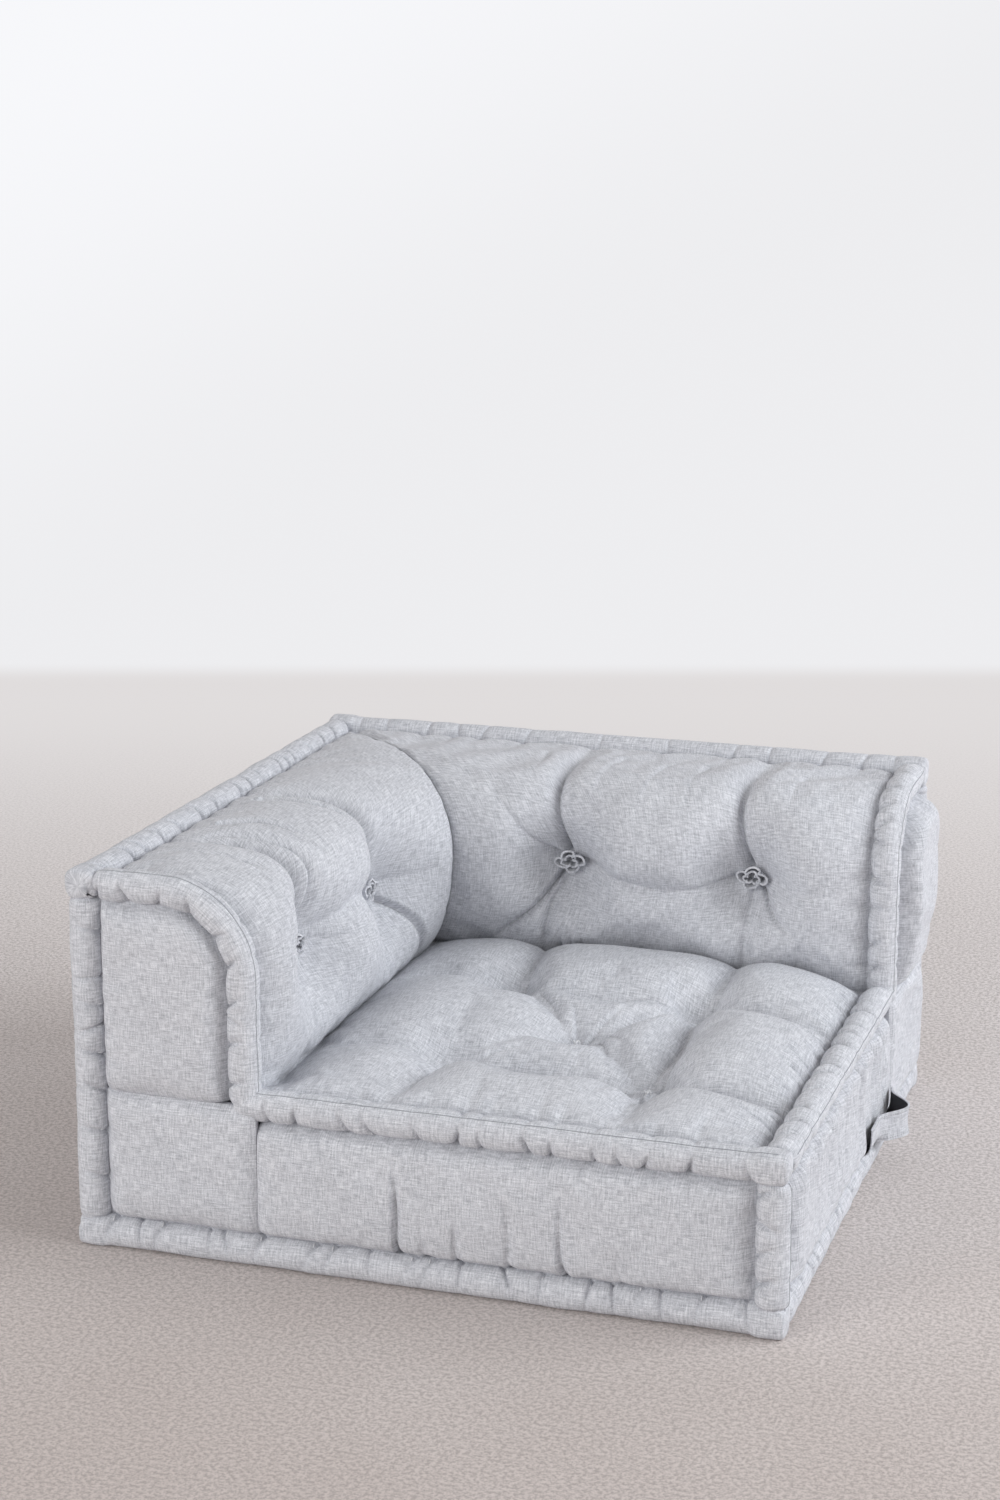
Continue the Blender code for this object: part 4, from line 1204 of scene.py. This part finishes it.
def end_panels(wing, cap_node, corner_node, band_node):
    """The panels of a wing's free end: the bolster's cap, the corner panel under it and the mattress band."""
    rolls = END_ROLLS[wing.name]
    middle = GAP / 2
    foot, head = BASE_AXIS + SEAM, TOP_AXIS - SEAM
    draw = random.Random(wing.seed)
    lines = []
    for at, low, high, depth, width in BAND_FOLDS[wing.name]:
        at += draw.uniform(-BAND_FOLD_SHIFT, BAND_FOLD_SHIFT)
        middle_at = at + draw.uniform(-BAND_FOLD_BEND, BAND_FOLD_BEND)
        points = [(at, low), (middle_at, (low + high) / 2), (at, high)]
        lines.append((points, depth * draw.uniform(*BAND_FOLD_FORCE), width))

    def stand(t, z, out):
        return wing.place(wing.length - ROLL_RADIUS + out, t, z)

    def cap_local(u, v):
        z = SEAT_AXIS + middle + v * (head + TUCK - SEAT_AXIS - middle)
        return EDGE - TUCK + u * (wing.cap_edge(z, TUCK) - EDGE + TUCK), z

    def cap_shape(t, z):
        up = swell(share_of(z, SEAT_AXIS, head), SEAM_LEVEL, 0, CAP_POWER)
        widest = np.maximum(wing.cap_edge(z), EDGE + CAP_LEAST)
        out = up * swell(share_of(t, EDGE, widest), 0, 0, CAP_POWER)
        out = out * CAP_CROWN * (1 + fuller_cap(wing, z))
        out = out - STITCHES[rolls["outer"]].pucker(z, t - EDGE, *UPRIGHT_PUCKER)
        return out - seam_dip(z - SEAT_AXIS) + waves(t, z, END_WAVES, wing.seed + 10)

    def cap_hold(t, z):
        return (t < EDGE) | (t > wing.cap_edge(z)) | (z > head)

    def corner_local(u, v):
        t = EDGE - TUCK + u * (BOLSTER_THICKNESS - middle - EDGE + TUCK)
        return t, foot - TUCK + v * (SEAT_AXIS - middle - foot + TUCK)

    def corner_shape(t, z):
        up = swell(share_of(z, foot, SEAT_AXIS), 0, SEAM_LEVEL, BAND_POWER)
        out = BAND_CROWN * up * swell(share_of(t, EDGE, BOLSTER_THICKNESS), 0, UPRIGHT_LEVEL, BAND_POWER)
        out = out * (1 + fuller_corner(wing, t))
        out = out - STITCHES[rolls["bottom"]].pucker(t, z - foot, *BAND_FOOT_PUCKER)
        out = out - STITCHES[rolls["outer"]].pucker(z, t - EDGE, *UPRIGHT_PUCKER)
        out = out - seam_dip(z - SEAT_AXIS)
        out = out - seam_dip(t - BOLSTER_THICKNESS) * share_of(SEAT_AXIS - z, 0, EDGE_FADE)
        return out + waves(t, z, END_WAVES, wing.seed + 20)

    def corner_hold(t, z):
        return (t < EDGE) | (z < foot)

    def band_local(u, v):
        low, high = foot - TUCK, SEAT_AXIS - SEAM + TUCK
        start = BOLSTER_THICKNESS + middle
        return start + u * (wing.span - EDGE + TUCK - start), low + v * (high - low)

    def band_shape(t, z):
        out = band_bulge(wing, t, z)
        out = out - STITCHES[rolls["top"]].pucker(t, SEAT_AXIS - SEAM - z, *BAND_TOP_PUCKER)
        out = out - STITCHES[rolls["bottom"]].pucker(t, z - foot, *BAND_FOOT_PUCKER)
        out = out - STITCHES[rolls["inner"]].pucker(z, wing.span - EDGE - t, *BAND_CORNER_PUCKER)
        return out - seam_dip(t - BOLSTER_THICKNESS) + waves(t, z, BAND_WAVES, wing.seed + 30)

    def band_hold(t, z):
        return (t > wing.span - EDGE) | (z < foot) | (z > SEAT_AXIS - SEAM)

    height = SEAT_AXIS - BASE_AXIS
    thick = BOLSTER_THICKNESS - EDGE
    cap = (cap_node, (thick, TOP_AXIS - SEAT_AXIS), cap_local, stand, cap_shape)
    corner = (corner_node, (thick, height), corner_local, stand, corner_shape)
    size = (wing.span - EDGE - BOLSTER_THICKNESS, height - SEAM)
    band = (band_node, size, band_local, stand, band_shape)
    flat_panel(f"{wing.name}_cap_cover", *cap, -wing.along, cap_hold)
    flat_panel(f"{corner_node}_cover", *corner, -wing.along, corner_hold)
    flat_panel(f"{band_node}_cover", *band, -wing.along, band_hold, lines=lines)


def outer_panels(wing, band_node, bottom, corners):
    """The upright panels on a wing's outer side: the mattress band and the bolster's outer cover."""
    middle = GAP / 2
    foot, head = BASE_AXIS + SEAM, TOP_AXIS - SEAM
    first, last = EDGE - TUCK, wing.end + TUCK

    def stand(s, z, out):
        return wing.place(s, ROLL_RADIUS - OUTER_LIFT - out, z)

    def drawn_in(s, z):
        near = STITCHES[corners[0]].pucker(z, s - EDGE, *UPRIGHT_PUCKER)
        far = STITCHES[corners[1]].pucker(z, wing.end - s, *UPRIGHT_PUCKER)
        return near + far + seam_dip(z - SEAT_AXIS)

    def low_local(u, v):
        return first + u * (last - first), foot - TUCK + v * (SEAT_AXIS - middle - foot + TUCK)

    def low_shape(s, z):
        out = wing.outer_bulge(s, z) - STITCHES[bottom].pucker(s, z - foot, *HIDDEN_FOOT_PUCKER)
        return out - drawn_in(s, z) + waves(s, z, HIDDEN_BAND_WAVES, wing.seed + 40)

    def high_local(u, v):
        return first + u * (last - first), SEAT_AXIS + middle + v * (head + TUCK - SEAT_AXIS - middle)

    def high_shape(s, z):
        out = wing.outer_bulge(s, z)
        out = out - STITCHES[f"{wing.name}_top"].pucker(s, head - z, *HIDDEN_TOP_PUCKER)
        return out - drawn_in(s, z) + waves(s, z, HIDDEN_COVER_WAVES, wing.seed + 50)

    def hold(s, z):
        return (s < EDGE) | (s > wing.end) | (z < foot) | (z > head)

    run = last - first
    low, high = (run, SEAT_AXIS - BASE_AXIS), (run, TOP_AXIS - SEAT_AXIS)
    plain = {"inwards": wing.across, "hold": hold, "cell": HIDDEN_CELL, "most": HIDDEN_MOVE}
    flat_panel(f"{band_node}_cover", band_node, low, low_local, stand, low_shape, **plain)
    node = f"{wing.name}_outer_panel"
    flat_panel(f"{wing.name}_outer_cover", node, high, high_local, stand, high_shape, **plain)


class Roll:
    """A stuffed edge roll drawn in by its stitches.

    path gives points for shares of 0 to 1, out the direction away from the panels there, and start the
    place of its first point on the scale of the stitches. draws says how hard they pull on its two panel
    sides, crest at which angle their slits begin on the harder drawn side, gather how much they narrow it,
    ears which of its ends are folded square and show, floor how low it may reach."""

    def __init__(
        self,
        name,
        path,
        out,
        stitches,
        start,
        seed,
        draws,
        ears=(0, 0),
        floor=None,
        crest=0.0,
        gather=0.2,
    ):
        self.name = name
        self.path = path
        self.out = out
        self.stitches = stitches
        self.start = start
        self.seed = seed
        self.draws = draws
        self.hand = 1 if draws[0] > draws[1] else -1
        self.crest = crest
        self.gather = gather
        self.ears = ears
        self.floor = floor
        self.length = line_length(path(np.linspace(0, 1, 400)))
        self.make_cover()

    def surface(self, share, angle, lift=0.0):
        """Points of the cover; an angle of 0 faces out, half a turn faces into the seat."""
        tangent = heading(self.path, share, 1e-4)
        away = np.broadcast_to(self.out(share), tangent.shape)
        side = np.cross(tangent, away)
        radius = self.radius(share, angle) + lift
        height, close = ROLL_SWAY
        sway = height * ripple(share * self.length * close, np.full(share.shape, self.seed), 0.3)
        found = self.path(share) + sway[:, None] * away
        found += radius[:, None] * (np.cos(angle)[:, None] * away + np.sin(angle)[:, None] * side)
        if self.floor is not None:
            found[:, 2] = np.maximum(found[:, 2], self.floor)
        return found

    def radius(self, share, angle):
        stitches = self.stitches
        along = self.start + share * self.length
        number = stitches.nearest(along)[0]
        draw = np.where(angle > 0, self.draws[0], self.draws[1])
        pull = smooth(share_of(np.abs(angle), *PULL_ANGLES)) * draw
        cut = smooth(share_of(angle * self.hand, self.crest, SLIT_ANGLE)) * max(self.draws)
        drawn = np.maximum(pull, cut)
        leaned = along + stitches.lean[number] * (np.abs(angle) - LEAN_ANGLE) * ROLL_RADIUS
        slit = np.exp(-(((leaned - stitches.marks[number]) / SLIT_WIDTH) ** 2))
        narrow = stitches.notch(leaned, ROLL_NOTCH) * (ROLL_NARROW + self.gather * drawn)
        found = ROLL_RADIUS * (ROLL_FULLNESS - narrow)
        found -= SLIT_DEPTH * drawn * stitches.force[number] * slit
        height, close, turns = ROLL_WAVES
        found += height * ripple(along * close, np.sin(angle) * turns + self.seed, self.seed + 0.5)
        height, close, turns = ROLL_CREASES
        found += height * pull * ripple(along * close, angle * turns, self.seed + 0.7)
        ends = (share * self.length, (1 - share) * self.length)
        for ear, from_end in zip(self.ears, (np.maximum(end - 1e-5, 0) for end in ends)):
            if ear:
                found *= 1 + (self.square(angle) - 1) * smooth(share_of(EAR - from_end, 0, EAR_FOLD))
            flatness = EAR_FLATNESS if ear else END_FLATNESS
            closing = np.clip(1 - from_end / END_ROUND, 0, 1)
            found *= (1 - closing**flatness) ** (1 / flatness)
        return found

    def square(self, angle):
        """Section of a folded corner, as a share of the round one."""
        turned = angle + math.pi / 4
        found = np.abs(np.cos(turned)) ** EAR_POWER + np.abs(np.sin(turned)) ** EAR_POWER
        return found ** (-1 / EAR_POWER)

    def make_cover(self):
        """The cover, with its cells crowded at the stitches."""
        fine = np.linspace(0, 1, 4000)
        away = self.stitches.away(self.start + fine * self.length)
        crowd = 1 + CELL_CROWD * np.exp(-((away / CROWD_REACH) ** 2))
        reached = np.concatenate(([0.0], np.cumsum((crowd[1:] + crowd[:-1]) / 2)))
        reached /= reached[-1]

        def place(u, v):
            return self.surface(np.interp(u, reached, fine), v * math.tau - math.pi)

        cells = (round(self.length / ROLL_CELL), ROLL_SIDES)
        span = (self.length, math.tau * ROLL_RADIUS)
        piece = cloth_grid(f"{self.name}_cover", cells, place, span, LINEN)[0]
        weld(piece)
        ride(piece, "cover_cloth", self.name)

    def seam(self, angle):
        """A sunk seam thread along the roll."""

        def path(share):
            inner = SEAM_MARGIN + (1 - 2 * SEAM_MARGIN) * share
            return self.surface(inner, np.full(share.shape, angle), -SEAM_SINK)

        cells = (round(self.length / ROLL_CELL), THREAD_SIDES)
        span = (self.length, 0.004)
        piece = tube(f"{self.name}_seam", path, self.out, SEAM_THREAD, cells, span, SEAM_LINE)
        cap_ends(piece)
        ride(piece, "twine")

    def stitch(self, angle):
        """Short hand stitches across the groove beside the roll."""
        bm = bmesh.new()
        marks = self.stitches.marks
        end = self.start + self.length
        inside = (marks > self.start + STITCH_CLEAR) & (marks < end - STITCH_CLEAR)
        shares = (marks[inside] - self.start) / self.length
        before = self.surface(shares, np.full(shares.shape, angle - STITCH_TURN))
        after = self.surface(shares, np.full(shares.shape, angle + STITCH_TURN))
        for first, last in zip(before, after):
            centre = Vector((first + last) / 2)
            add_stitch(bm, centre, Vector(last - first), STITCH_LENGTH / 2, STITCH_RADIUS)
        piece = piece_from(bm, f"{self.name}_stitches", THREAD)
        piece.data.shade_smooth()
        ride(piece, "twine")


def straight(start, end):
    first, last = np.array(start, dtype=float), np.array(end, dtype=float)
    return lambda share: first + np.asarray(share)[:, None] * (last - first)


def always(*direction):
    fixed = np.array(direction, dtype=float)
    fixed /= np.linalg.norm(fixed)
    return lambda share: fixed


def rolls():
    """All edge rolls with their seams and stitches."""
    left, right = -HALF_W + ROLL_RADIUS, HALF_W - ROLL_RADIUS
    front, rear = -HALF_D + ROLL_RADIUS, HALF_D - ROLL_RADIUS
    seam_x, seam_y = -HALF_W + BOLSTER_AXIS, HALF_D - BOLSTER_AXIS
    low, mid, top = BASE_AXIS, SEAT_AXIS, TOP_AXIS
    first, last = rear - SEAM + ROLL_GROW, front + SEAM - ROLL_GROW
    inset = EDGE - ROLL_GROW

    bottoms = (
        ("front_bottom", (-HALF_W, front), (HALF_W, front), (0, -1), 0.0, (0.5, 1.0), (1, 1), 31),
        ("rear_bottom", (-HALF_W, rear), (HALF_W, rear), (0, 1), 0.0, (1.0, 0.5), (1, 1), 32),
        ("left_bottom", (left, first), (left, last), (-1, 0), inset, (0.5, 1.0), (0, 0), 33),
        ("right_bottom", (right, first), (right, last), (1, 0), inset, (1.0, 0.5), (0, 0), 34),
    )
    for name, begin, end, out, start, draws, ears, seed in bottoms:
        path = straight((*begin, low), (*end, low))
        shape = {"draws": draws, "ears": ears, "floor": 0.0, "crest": -0.3, "gather": 0.07}
        roll = Roll(f"{name}_roll", path, always(*out, -1), STITCHES[name], start, seed, **shape)
        roll.stitch(roll.hand * GROOVE_ANGLE)

    corners = (
        ("front_left", left, front, (1.0, 0.6), 35),
        ("rear_left", left, rear, (0.8, 0.8), 36),
        ("rear_right", right, rear, (0.8, 0.6), 37),
    )
    for name, x, y, draws, seed in corners:
        lower = ("lower", low + SEAM - ROLL_GROW, mid + ROLL_GROW, seed)
        upper = ("upper", mid - ROLL_GROW, top - SEAM + ROLL_GROW, seed + 10)
        for half, foot, head, own_seed in (lower, upper):
            path = straight((x, y, foot), (x, y, head))
            full_name = f"{name}_corner_roll_{half}"
            roll = Roll(full_name, path, always(x, y, 0), STITCHES[name], foot, own_seed, draws)
            roll.stitch(GROOVE_ANGLE)
    path = straight((right, front, low + SEAM - ROLL_GROW), (right, front, mid - SEAM + ROLL_GROW))
    shape = {"draws": (0.25, 1.2), "gather": 0.3}
    stitches = STITCHES["front_right"]
    roll = Roll("front_right_corner_roll", path, always(1, -1, 0), stitches, low + SEAM, 38, **shape)
    roll.seam(0.75)
    roll.stitch(-GROOVE_ANGLE)

    start = BOLSTER_AXIS - ROLL_TUCK
    path = straight((seam_x - ROLL_TUCK, front, mid), (HALF_W, front, mid))
    shape = {"draws": (1.1, 0.7), "ears": (0, 1), "crest": -0.2, "gather": 0.2}
    roll = Roll("front_top_roll", path, always(0, -1, 1), STITCHES["front_top"], start, 39, **shape)
    roll.seam(-0.3)
    roll.stitch(GROOVE_ANGLE)
    path = straight((right, seam_y + ROLL_TUCK, mid), (right, last, mid))
    shape = {"draws": (1.7, 0.5), "crest": -0.6, "gather": 0.32}
    roll = Roll("right_top_roll", path, always(1, 0, 1), STITCHES["right_top"], start, 40, **shape)
    roll.seam(-0.45)
    path = straight((-HALF_W, rear, top), (HALF_W, rear, top))
    roll = Roll("back_top_roll", path, always(0, 1, 1), STITCHES["back_top"], 0.0, 41, (0.5, 0.6), (1, 1))
    roll.stitch(-GROOVE_ANGLE)
    path = straight((left, first, top), (left, -HALF_D, top))
    roll = Roll("side_top_roll", path, always(-1, 0, 1), STITCHES["side_top"], inset, 42, (0.6, 1.0), (0, 1))
    roll.stitch(GROOVE_ANGLE)

    for wing, line in ((SIDE, -0.5), (BACK, -0.35)):

        def path(share, wing=wing):
            t, z = wing.profile(-ROLL_GROW + np.asarray(share) * (COVER_RUN + 2 * ROLL_GROW))[:2]
            return wing.place(np.full(t.shape, wing.length - ROLL_RADIUS), t, z)

        def out(share, wing=wing):
            across, up = wing.profile(np.asarray(share) * COVER_RUN)[2:]
            return unit(across[:, None] * wing.across + up[:, None] * UP + wing.along)

        name = f"{wing.name}_end"
        shape = {"draws": (1.1, 0.4), "crest": 0.2, "gather": 0.3}
        roll = Roll(f"{name}_roll", path, out, STITCHES[name], -ROLL_GROW, 42 + wing.seed, **shape)
        roll.seam(line)
        roll.stitch(GROOVE_ANGLE)


def mitre_seam():
    """The fine seam where the two bolsters' covers meet."""

    def path(share):
        run = MITRE_MARGIN + share * (COVER_RUN - 2 * MITRE_MARGIN)
        s = SIDE.mitre(run)
        t, z, across, up = SIDE.profile(run)
        out = cover_shape(SIDE, s, run)
        return SIDE.place(s, t + across * out + GAP, z + up * out)

    cells = (round(COVER_RUN / ROLL_CELL), THREAD_SIDES)
    span = (COVER_RUN, 0.005)
    piece = tube("mitre_seam", path, always(0.7, -0.7, 0.2), MITRE_THREAD, cells, span, SEAM_LINE)
    cap_ends(piece)
    ride(piece, "twine")


def rosette(wing, number, tuft):
    """A ruffled rosette of cover cloth: two standing ribbons in loops, gathered in the tuft."""
    node = f"{wing.name}_rosette_{number}"
    low, high = (np.array(corner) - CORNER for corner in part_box(node))
    outer = max(low.dot(wing.across), high.dot(wing.across))
    height = (low[2] + high[2]) / 2
    draw = random.Random(60 + 7 * wing.seed + number)
    bm = bmesh.new()
    bm.loops.layers.uv.new("weave")
    total = 0.0
    for size, petals, cells in RIBBONS:
        turn = draw.uniform(0, math.tau)

        def place(u, v, size=size, petals=petals, turn=turn):
            around = u * math.tau
            loops = petals * around + turn
            angle = around + PETAL_SWING * np.sin(loops) + turn
            reach = size * (PETAL_REACH[0] + PETAL_REACH[1] * np.cos(loops + PETAL_LAG))
            reach = reach * (PETAL_OPEN[0] + PETAL_OPEN[1] * v)
            s = tuft + PETAL_SHAPE[0] * reach * np.cos(angle)
            z = height + PETAL_SHAPE[1] * reach * np.sin(angle)
            frill = PETAL_FRILL * np.sin(3 * petals * around) * v
            return wing.place(s, outer + RUFFLE_LIFT - RIBBON * (1 - v) + frill, z)

        length = line_length(place(np.linspace(0, 1, 600), np.full(600, 0.6)))
        total += length
        layer = cloth_grid("ribbon", (cells, 5), place, (length, RIBBON), LINEN)[0]
        weld(layer)
        bm.from_mesh(layer.data)
        bpy.data.objects.remove(layer)
    piece = piece_from(bm, f"{node}_ruffle", LINEN)
    thicken(piece, RIBBON_CLOTH)
    ride(piece, "cover_cloth", node)
    return piece, total


def knot(node):
    """The knot of a seat tuft: twine in a trefoil."""
    low, high = (np.array(corner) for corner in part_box(node))
    middle, reach = (low + high) / 2, (high - low) / 2

    def path(share):
        turn = share * math.tau
        x = np.sin(turn) + 2 * np.sin(2 * turn)
        y = np.cos(turn) - 2 * np.cos(2 * turn)
        return middle + np.stack((x, y, -1.5 * np.sin(3 * turn)), axis=1) / 3 * reach

    span = (0.06, 0.007)
    piece = tube(f"{node}_twine", path, always(0.1, 0.2, 1.0), KNOT_THREAD, (72, 8), span, THREAD)
    weld(piece)
    ride(piece, "twine", node)


def grab_strap():
    """The hand strap on the right band: grey cloth outside, black lining inside, sewn down at both ends."""

    def layer(name, node, inner, depth, material, slot, inset):
        width = STRAP_HEIGHT - 2 * inset

        def place(u, v):
            t = STRAP_START + u * (STRAP_END - STRAP_START)
            bow = np.sin(math.pi * share_of(t, *STRAP_LOOP)) ** 1.5
            z = STRAP_FOOT + inset + v * width
            level = np.minimum(1.0, 3 * bow)
            top = np.full(t.shape, STRAP_FOOT + STRAP_HEIGHT)
            band = band_bulge(BACK, t, z) * (1 - level) + band_bulge(BACK, t, top) * level
            hollow = STRAP_HOLLOW * bow * np.sin(v * math.pi)
            out = band + STRAP_CLEAR + STRAP_SEAT + STRAP_BOW * bow + inner - hollow
            return BACK.place(BACK.length - ROLL_RADIUS + out, t, z)

        length = line_length(place(np.linspace(0, 1, 400), np.full(400, 0.5)))
        piece = cloth_grid(name, (90, 18), place, (length, width), material)[0]
        thicken(piece, depth)
        ride(piece, slot, node)
        return place

    layer("grab_strap_inside", "grab_strap_lining", 0.0, LINING_CLOTH, LINING, "strap_lining", LINING_INSET)
    over = LINING_CLOTH + GAP
    place = layer("grab_strap_outside", "grab_strap", over, STRAP_CLOTH, LINEN, "cover_cloth", 0.0)
    bm = bmesh.new()
    many = np.linspace(0.01, 0.99, STRAP_STITCHES)
    for edge in (0.1, 0.9):
        centres = place(many, np.full(many.shape, edge))
        for here, after in zip(centres, centres[1:]):
            along = Vector(after - here)
            lift = along.cross(Vector(UP)).normalized() * -STRAP_STITCH_LIFT
            raised = Vector((here + after) / 2) + lift
            add_stitch(bm, raised, along, along.length * STRAP_STITCH_SHARE, STRAP_STITCH_RADIUS)
    piece = piece_from(bm, "grab_strap_stitching", SEAM_LINE)
    piece.data.shade_smooth()
    ride(piece, "twine")


def base_cover():
    """The plain cloth under the mattress, stretched between the bottom rolls."""
    low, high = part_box("base_cloth")
    size = (high[0] - low[0], high[1] - low[1])

    def place(u, v):
        x = low[0] + u * size[0]
        y = low[1] + v * size[1]
        slack = swell(u, 0, 0) * swell(v, 0, 0)
        return np.stack((x, y, low[2] + BASE_SLACK * slack * (1 + ripple(x * 12, y * 12, 9))), axis=1)

    piece = cloth_grid("base_cover", (60, 60), place, size, LINEN)[0]
    thicken(piece, high[2] - low[2] - 2 * BASE_SLACK)
    ride(piece, "cover_cloth", "base_cloth")


# Finishes: the covers' cloth, nearly white hand stitches and knots, dark sunk seams, and the lining
LINEN = linen()
THREAD = twisted_thread("waxed_thread", 0.6, 900, (0.62, 0.63, 0.66, 1), (0.86, 0.86, 0.87, 1))
SEAM_LINE = twisted_thread("seam_thread", 0.9, 700, (0.20, 0.21, 0.23, 1), (0.40, 0.41, 0.44, 1))
LINING = lining_finish()

seat_cushion()
for wing in (SIDE, BACK):
    bolster_cushion(wing)
end_panels(SIDE, "side_end_cap", "front_corner_panel", "front_band")
end_panels(BACK, "back_end_cap", "right_corner_panel", "right_band")
outer_panels(SIDE, "left_band", "left_bottom", ("rear_left", "front_left"))
outer_panels(BACK, "rear_band", "rear_bottom", ("rear_left", "rear_right"))
rolls()
mitre_seam()
for wing in (SIDE, BACK):
    for number, tuft in enumerate(wing.tufts, 1):
        ruffle, length = rosette(wing, number, tuft[0])
for number in range(1, len(SEAT_TUFTS) + 1):
    knot(f"seat_tuft_knot_{number}")
grab_strap()
base_cover()

# The twine ties show their own solids, inside the stuffing
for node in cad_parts.values():
    if not node.hide_render:
        node.data.materials.clear()
        node.data.materials.append(THREAD)


# View: the camera's place, heading and fall
CAMERA = np.array((0.97325, -3.08707, 1.30813))
HEADING = math.radians(18.1418)
FALL = math.radians(13.6405)
AHEAD = np.array((-math.sin(HEADING), math.cos(HEADING), 0.0))
RIGHT = np.array((math.cos(HEADING), math.sin(HEADING), 0.0))


def sweep_finish():
    """Pale screed with painted light that lightens it away from the seat, turning into a white wall; far
    floor and wall glow with painted light, and are not seen from behind.
    """
    paint = Finish("studio_sweep", roughness=0.9)
    place = paint.node("ShaderNodeTexCoord", "Object")

    def along(direction):
        dot = {"operation": "DOT_PRODUCT"}
        return paint.node("ShaderNodeVectorMath", "Value", dot, {0: place, 1: tuple(direction)})

    def ray(kind):
        return paint.node("ShaderNodeLightPath", f"Is {kind} Ray")

    def mix(share, first, second):
        return paint.node("ShaderNodeMixShader", 0, None, {0: share, 1: first, 2: second})

    away, aside, height = along(AHEAD), along(RIGHT), along(UP)
    grain = paint.noise(place, (200, 200, 200), detail=4.0, roughness=0.85)
    cloud = paint.noise(place, (3, 3, 3), detail=4.0)
    # Painted light and shade: the floor is darker towards the front left and lighter away from the seat and
    # to the right
    painted_floor_light = paint.ramp(away + 0.25 * aside, -1.2, 0.9)
    floor = paint.blend((0.60, 0.53, 0.50, 1), (0.80, 0.755, 0.745, 1), painted_floor_light + (cloud - 0.5) * 0.5)
    floor = paint.blend(floor, (0.30, 0.265, 0.25, 1), paint.ramp(grain, 0.42, 0.60) * 0.66)
    paint.link("Base Color", floor)
    # Painted light: to the camera and in reflections the far floor and the wall glow instead of being lit,
    # brightest towards the upper left
    far = paint.ramp(away, 0.6, 2.6)
    wall = paint.ramp(height, 0.0, 0.03)
    tone = paint.blend((0.745, 0.72, 0.72, 1), (0.85, 0.85, 0.868, 1), wall)
    tone = paint.blend(tone, (0.93, 0.935, 0.96, 1), paint.ramp(height - 0.5 * aside, 0.6, 1.9) * wall)
    painted_backdrop_glow = paint.node("ShaderNodeEmission", 0, Color=tone)
    shows = ray("Camera") + ray("Glossy") + ray("Transmission")
    front = mix(shows * far, Socket(paint.tree, paint.shader.outputs[0]), painted_backdrop_glow)
    behind = paint.node("ShaderNodeNewGeometry", "Backfacing") * ray("Camera")
    surface = mix(behind, front, paint.node("ShaderNodeBsdfTransparent", 0))
    paint.tree.links.new(surface.socket, paint.tree.nodes["Material Output"].inputs["Surface"])
    return paint.material


def soft_light(name, place, energy, **settings):
    """An area light that looks at the seat."""
    lamp = bpy.data.objects.new(name, bpy.data.lights.new(name, "AREA"))
    lamp.data.energy = energy
    for setting, value in settings.items():
        setattr(lamp.data, setting, value)
    lamp.location = place
    lamp.rotation_euler = (Vector((0, 0, 0.2)) - lamp.location).to_track_quat("-Z", "Y").to_euler()
    bpy.context.scene.collection.objects.link(lamp)


def studio():
    """A pale floor that sweeps up into a white wall, a soft key from the right, a fill from the front left
    and light from all round."""
    ground = CAMERA * np.array((1, 1, 0))
    width, before, reach, cove, rise = 40, 12, 6.0, 0.2, 5.0

    def place(u, v):
        across = (u - 0.5) * width
        run = -before + v * (before + reach + rise)
        turn = np.clip((run - reach) / cove, 0, math.pi / 2)
        away = np.minimum(run, reach) + cove * np.sin(turn)
        up = cove * (1 - np.cos(turn)) + np.maximum(run - reach - cove * math.pi / 2, 0)
        return ground + across[:, None] * RIGHT + away[:, None] * AHEAD + up[:, None] * UP

    span = (width, before + reach + rise)
    sweep = cloth_grid("studio_sweep", (2, 460), place, span, sweep_finish())[0]
    sweep.data.shade_smooth()

    panel = {"shape": "RECTANGLE", "size": 5.0, "size_y": 3.2, "color": (0.93, 0.965, 1.0)}
    soft_light("key_light", (5.2, 0.6, 3.0), 288, **panel)
    soft_light("fill_light", (-2.4, -4.9, 1.8), 140, size=3.0)

    world = bpy.data.worlds.new("soft_room")
    world.use_nodes = True
    tree = world.node_tree
    sky = tree.nodes["Background"]
    direction = tree.nodes.new("ShaderNodeTexCoord").outputs["Generated"]
    ramp = tree.nodes.new("ShaderNodeMapRange")
    parts = tree.nodes.new("ShaderNodeSeparateXYZ")
    tree.links.new(direction, parts.inputs[0])
    tree.links.new(parts.outputs["Z"], ramp.inputs["Value"])
    for socket, value in {"From Min": 0.0, "From Max": 0.9, "To Min": 0.76, "To Max": 0.34}.items():
        ramp.inputs[socket].default_value = value
    sky.inputs["Color"].default_value = (1.0, 0.99, 0.985, 1)
    tree.links.new(ramp.outputs[0], sky.inputs["Strength"])
    bpy.context.scene.world = world

    camera = bpy.data.objects.new("camera", bpy.data.cameras.new("camera"))
    camera.data.lens = 66.55
    camera.data.sensor_width = 36
    camera.location = CAMERA
    camera.rotation_euler = (math.pi / 2 - FALL, 0, HEADING)
    bpy.context.scene.collection.objects.link(camera)
    bpy.context.scene.camera = camera


studio()
bpy.context.scene.view_settings.view_transform = "Standard"
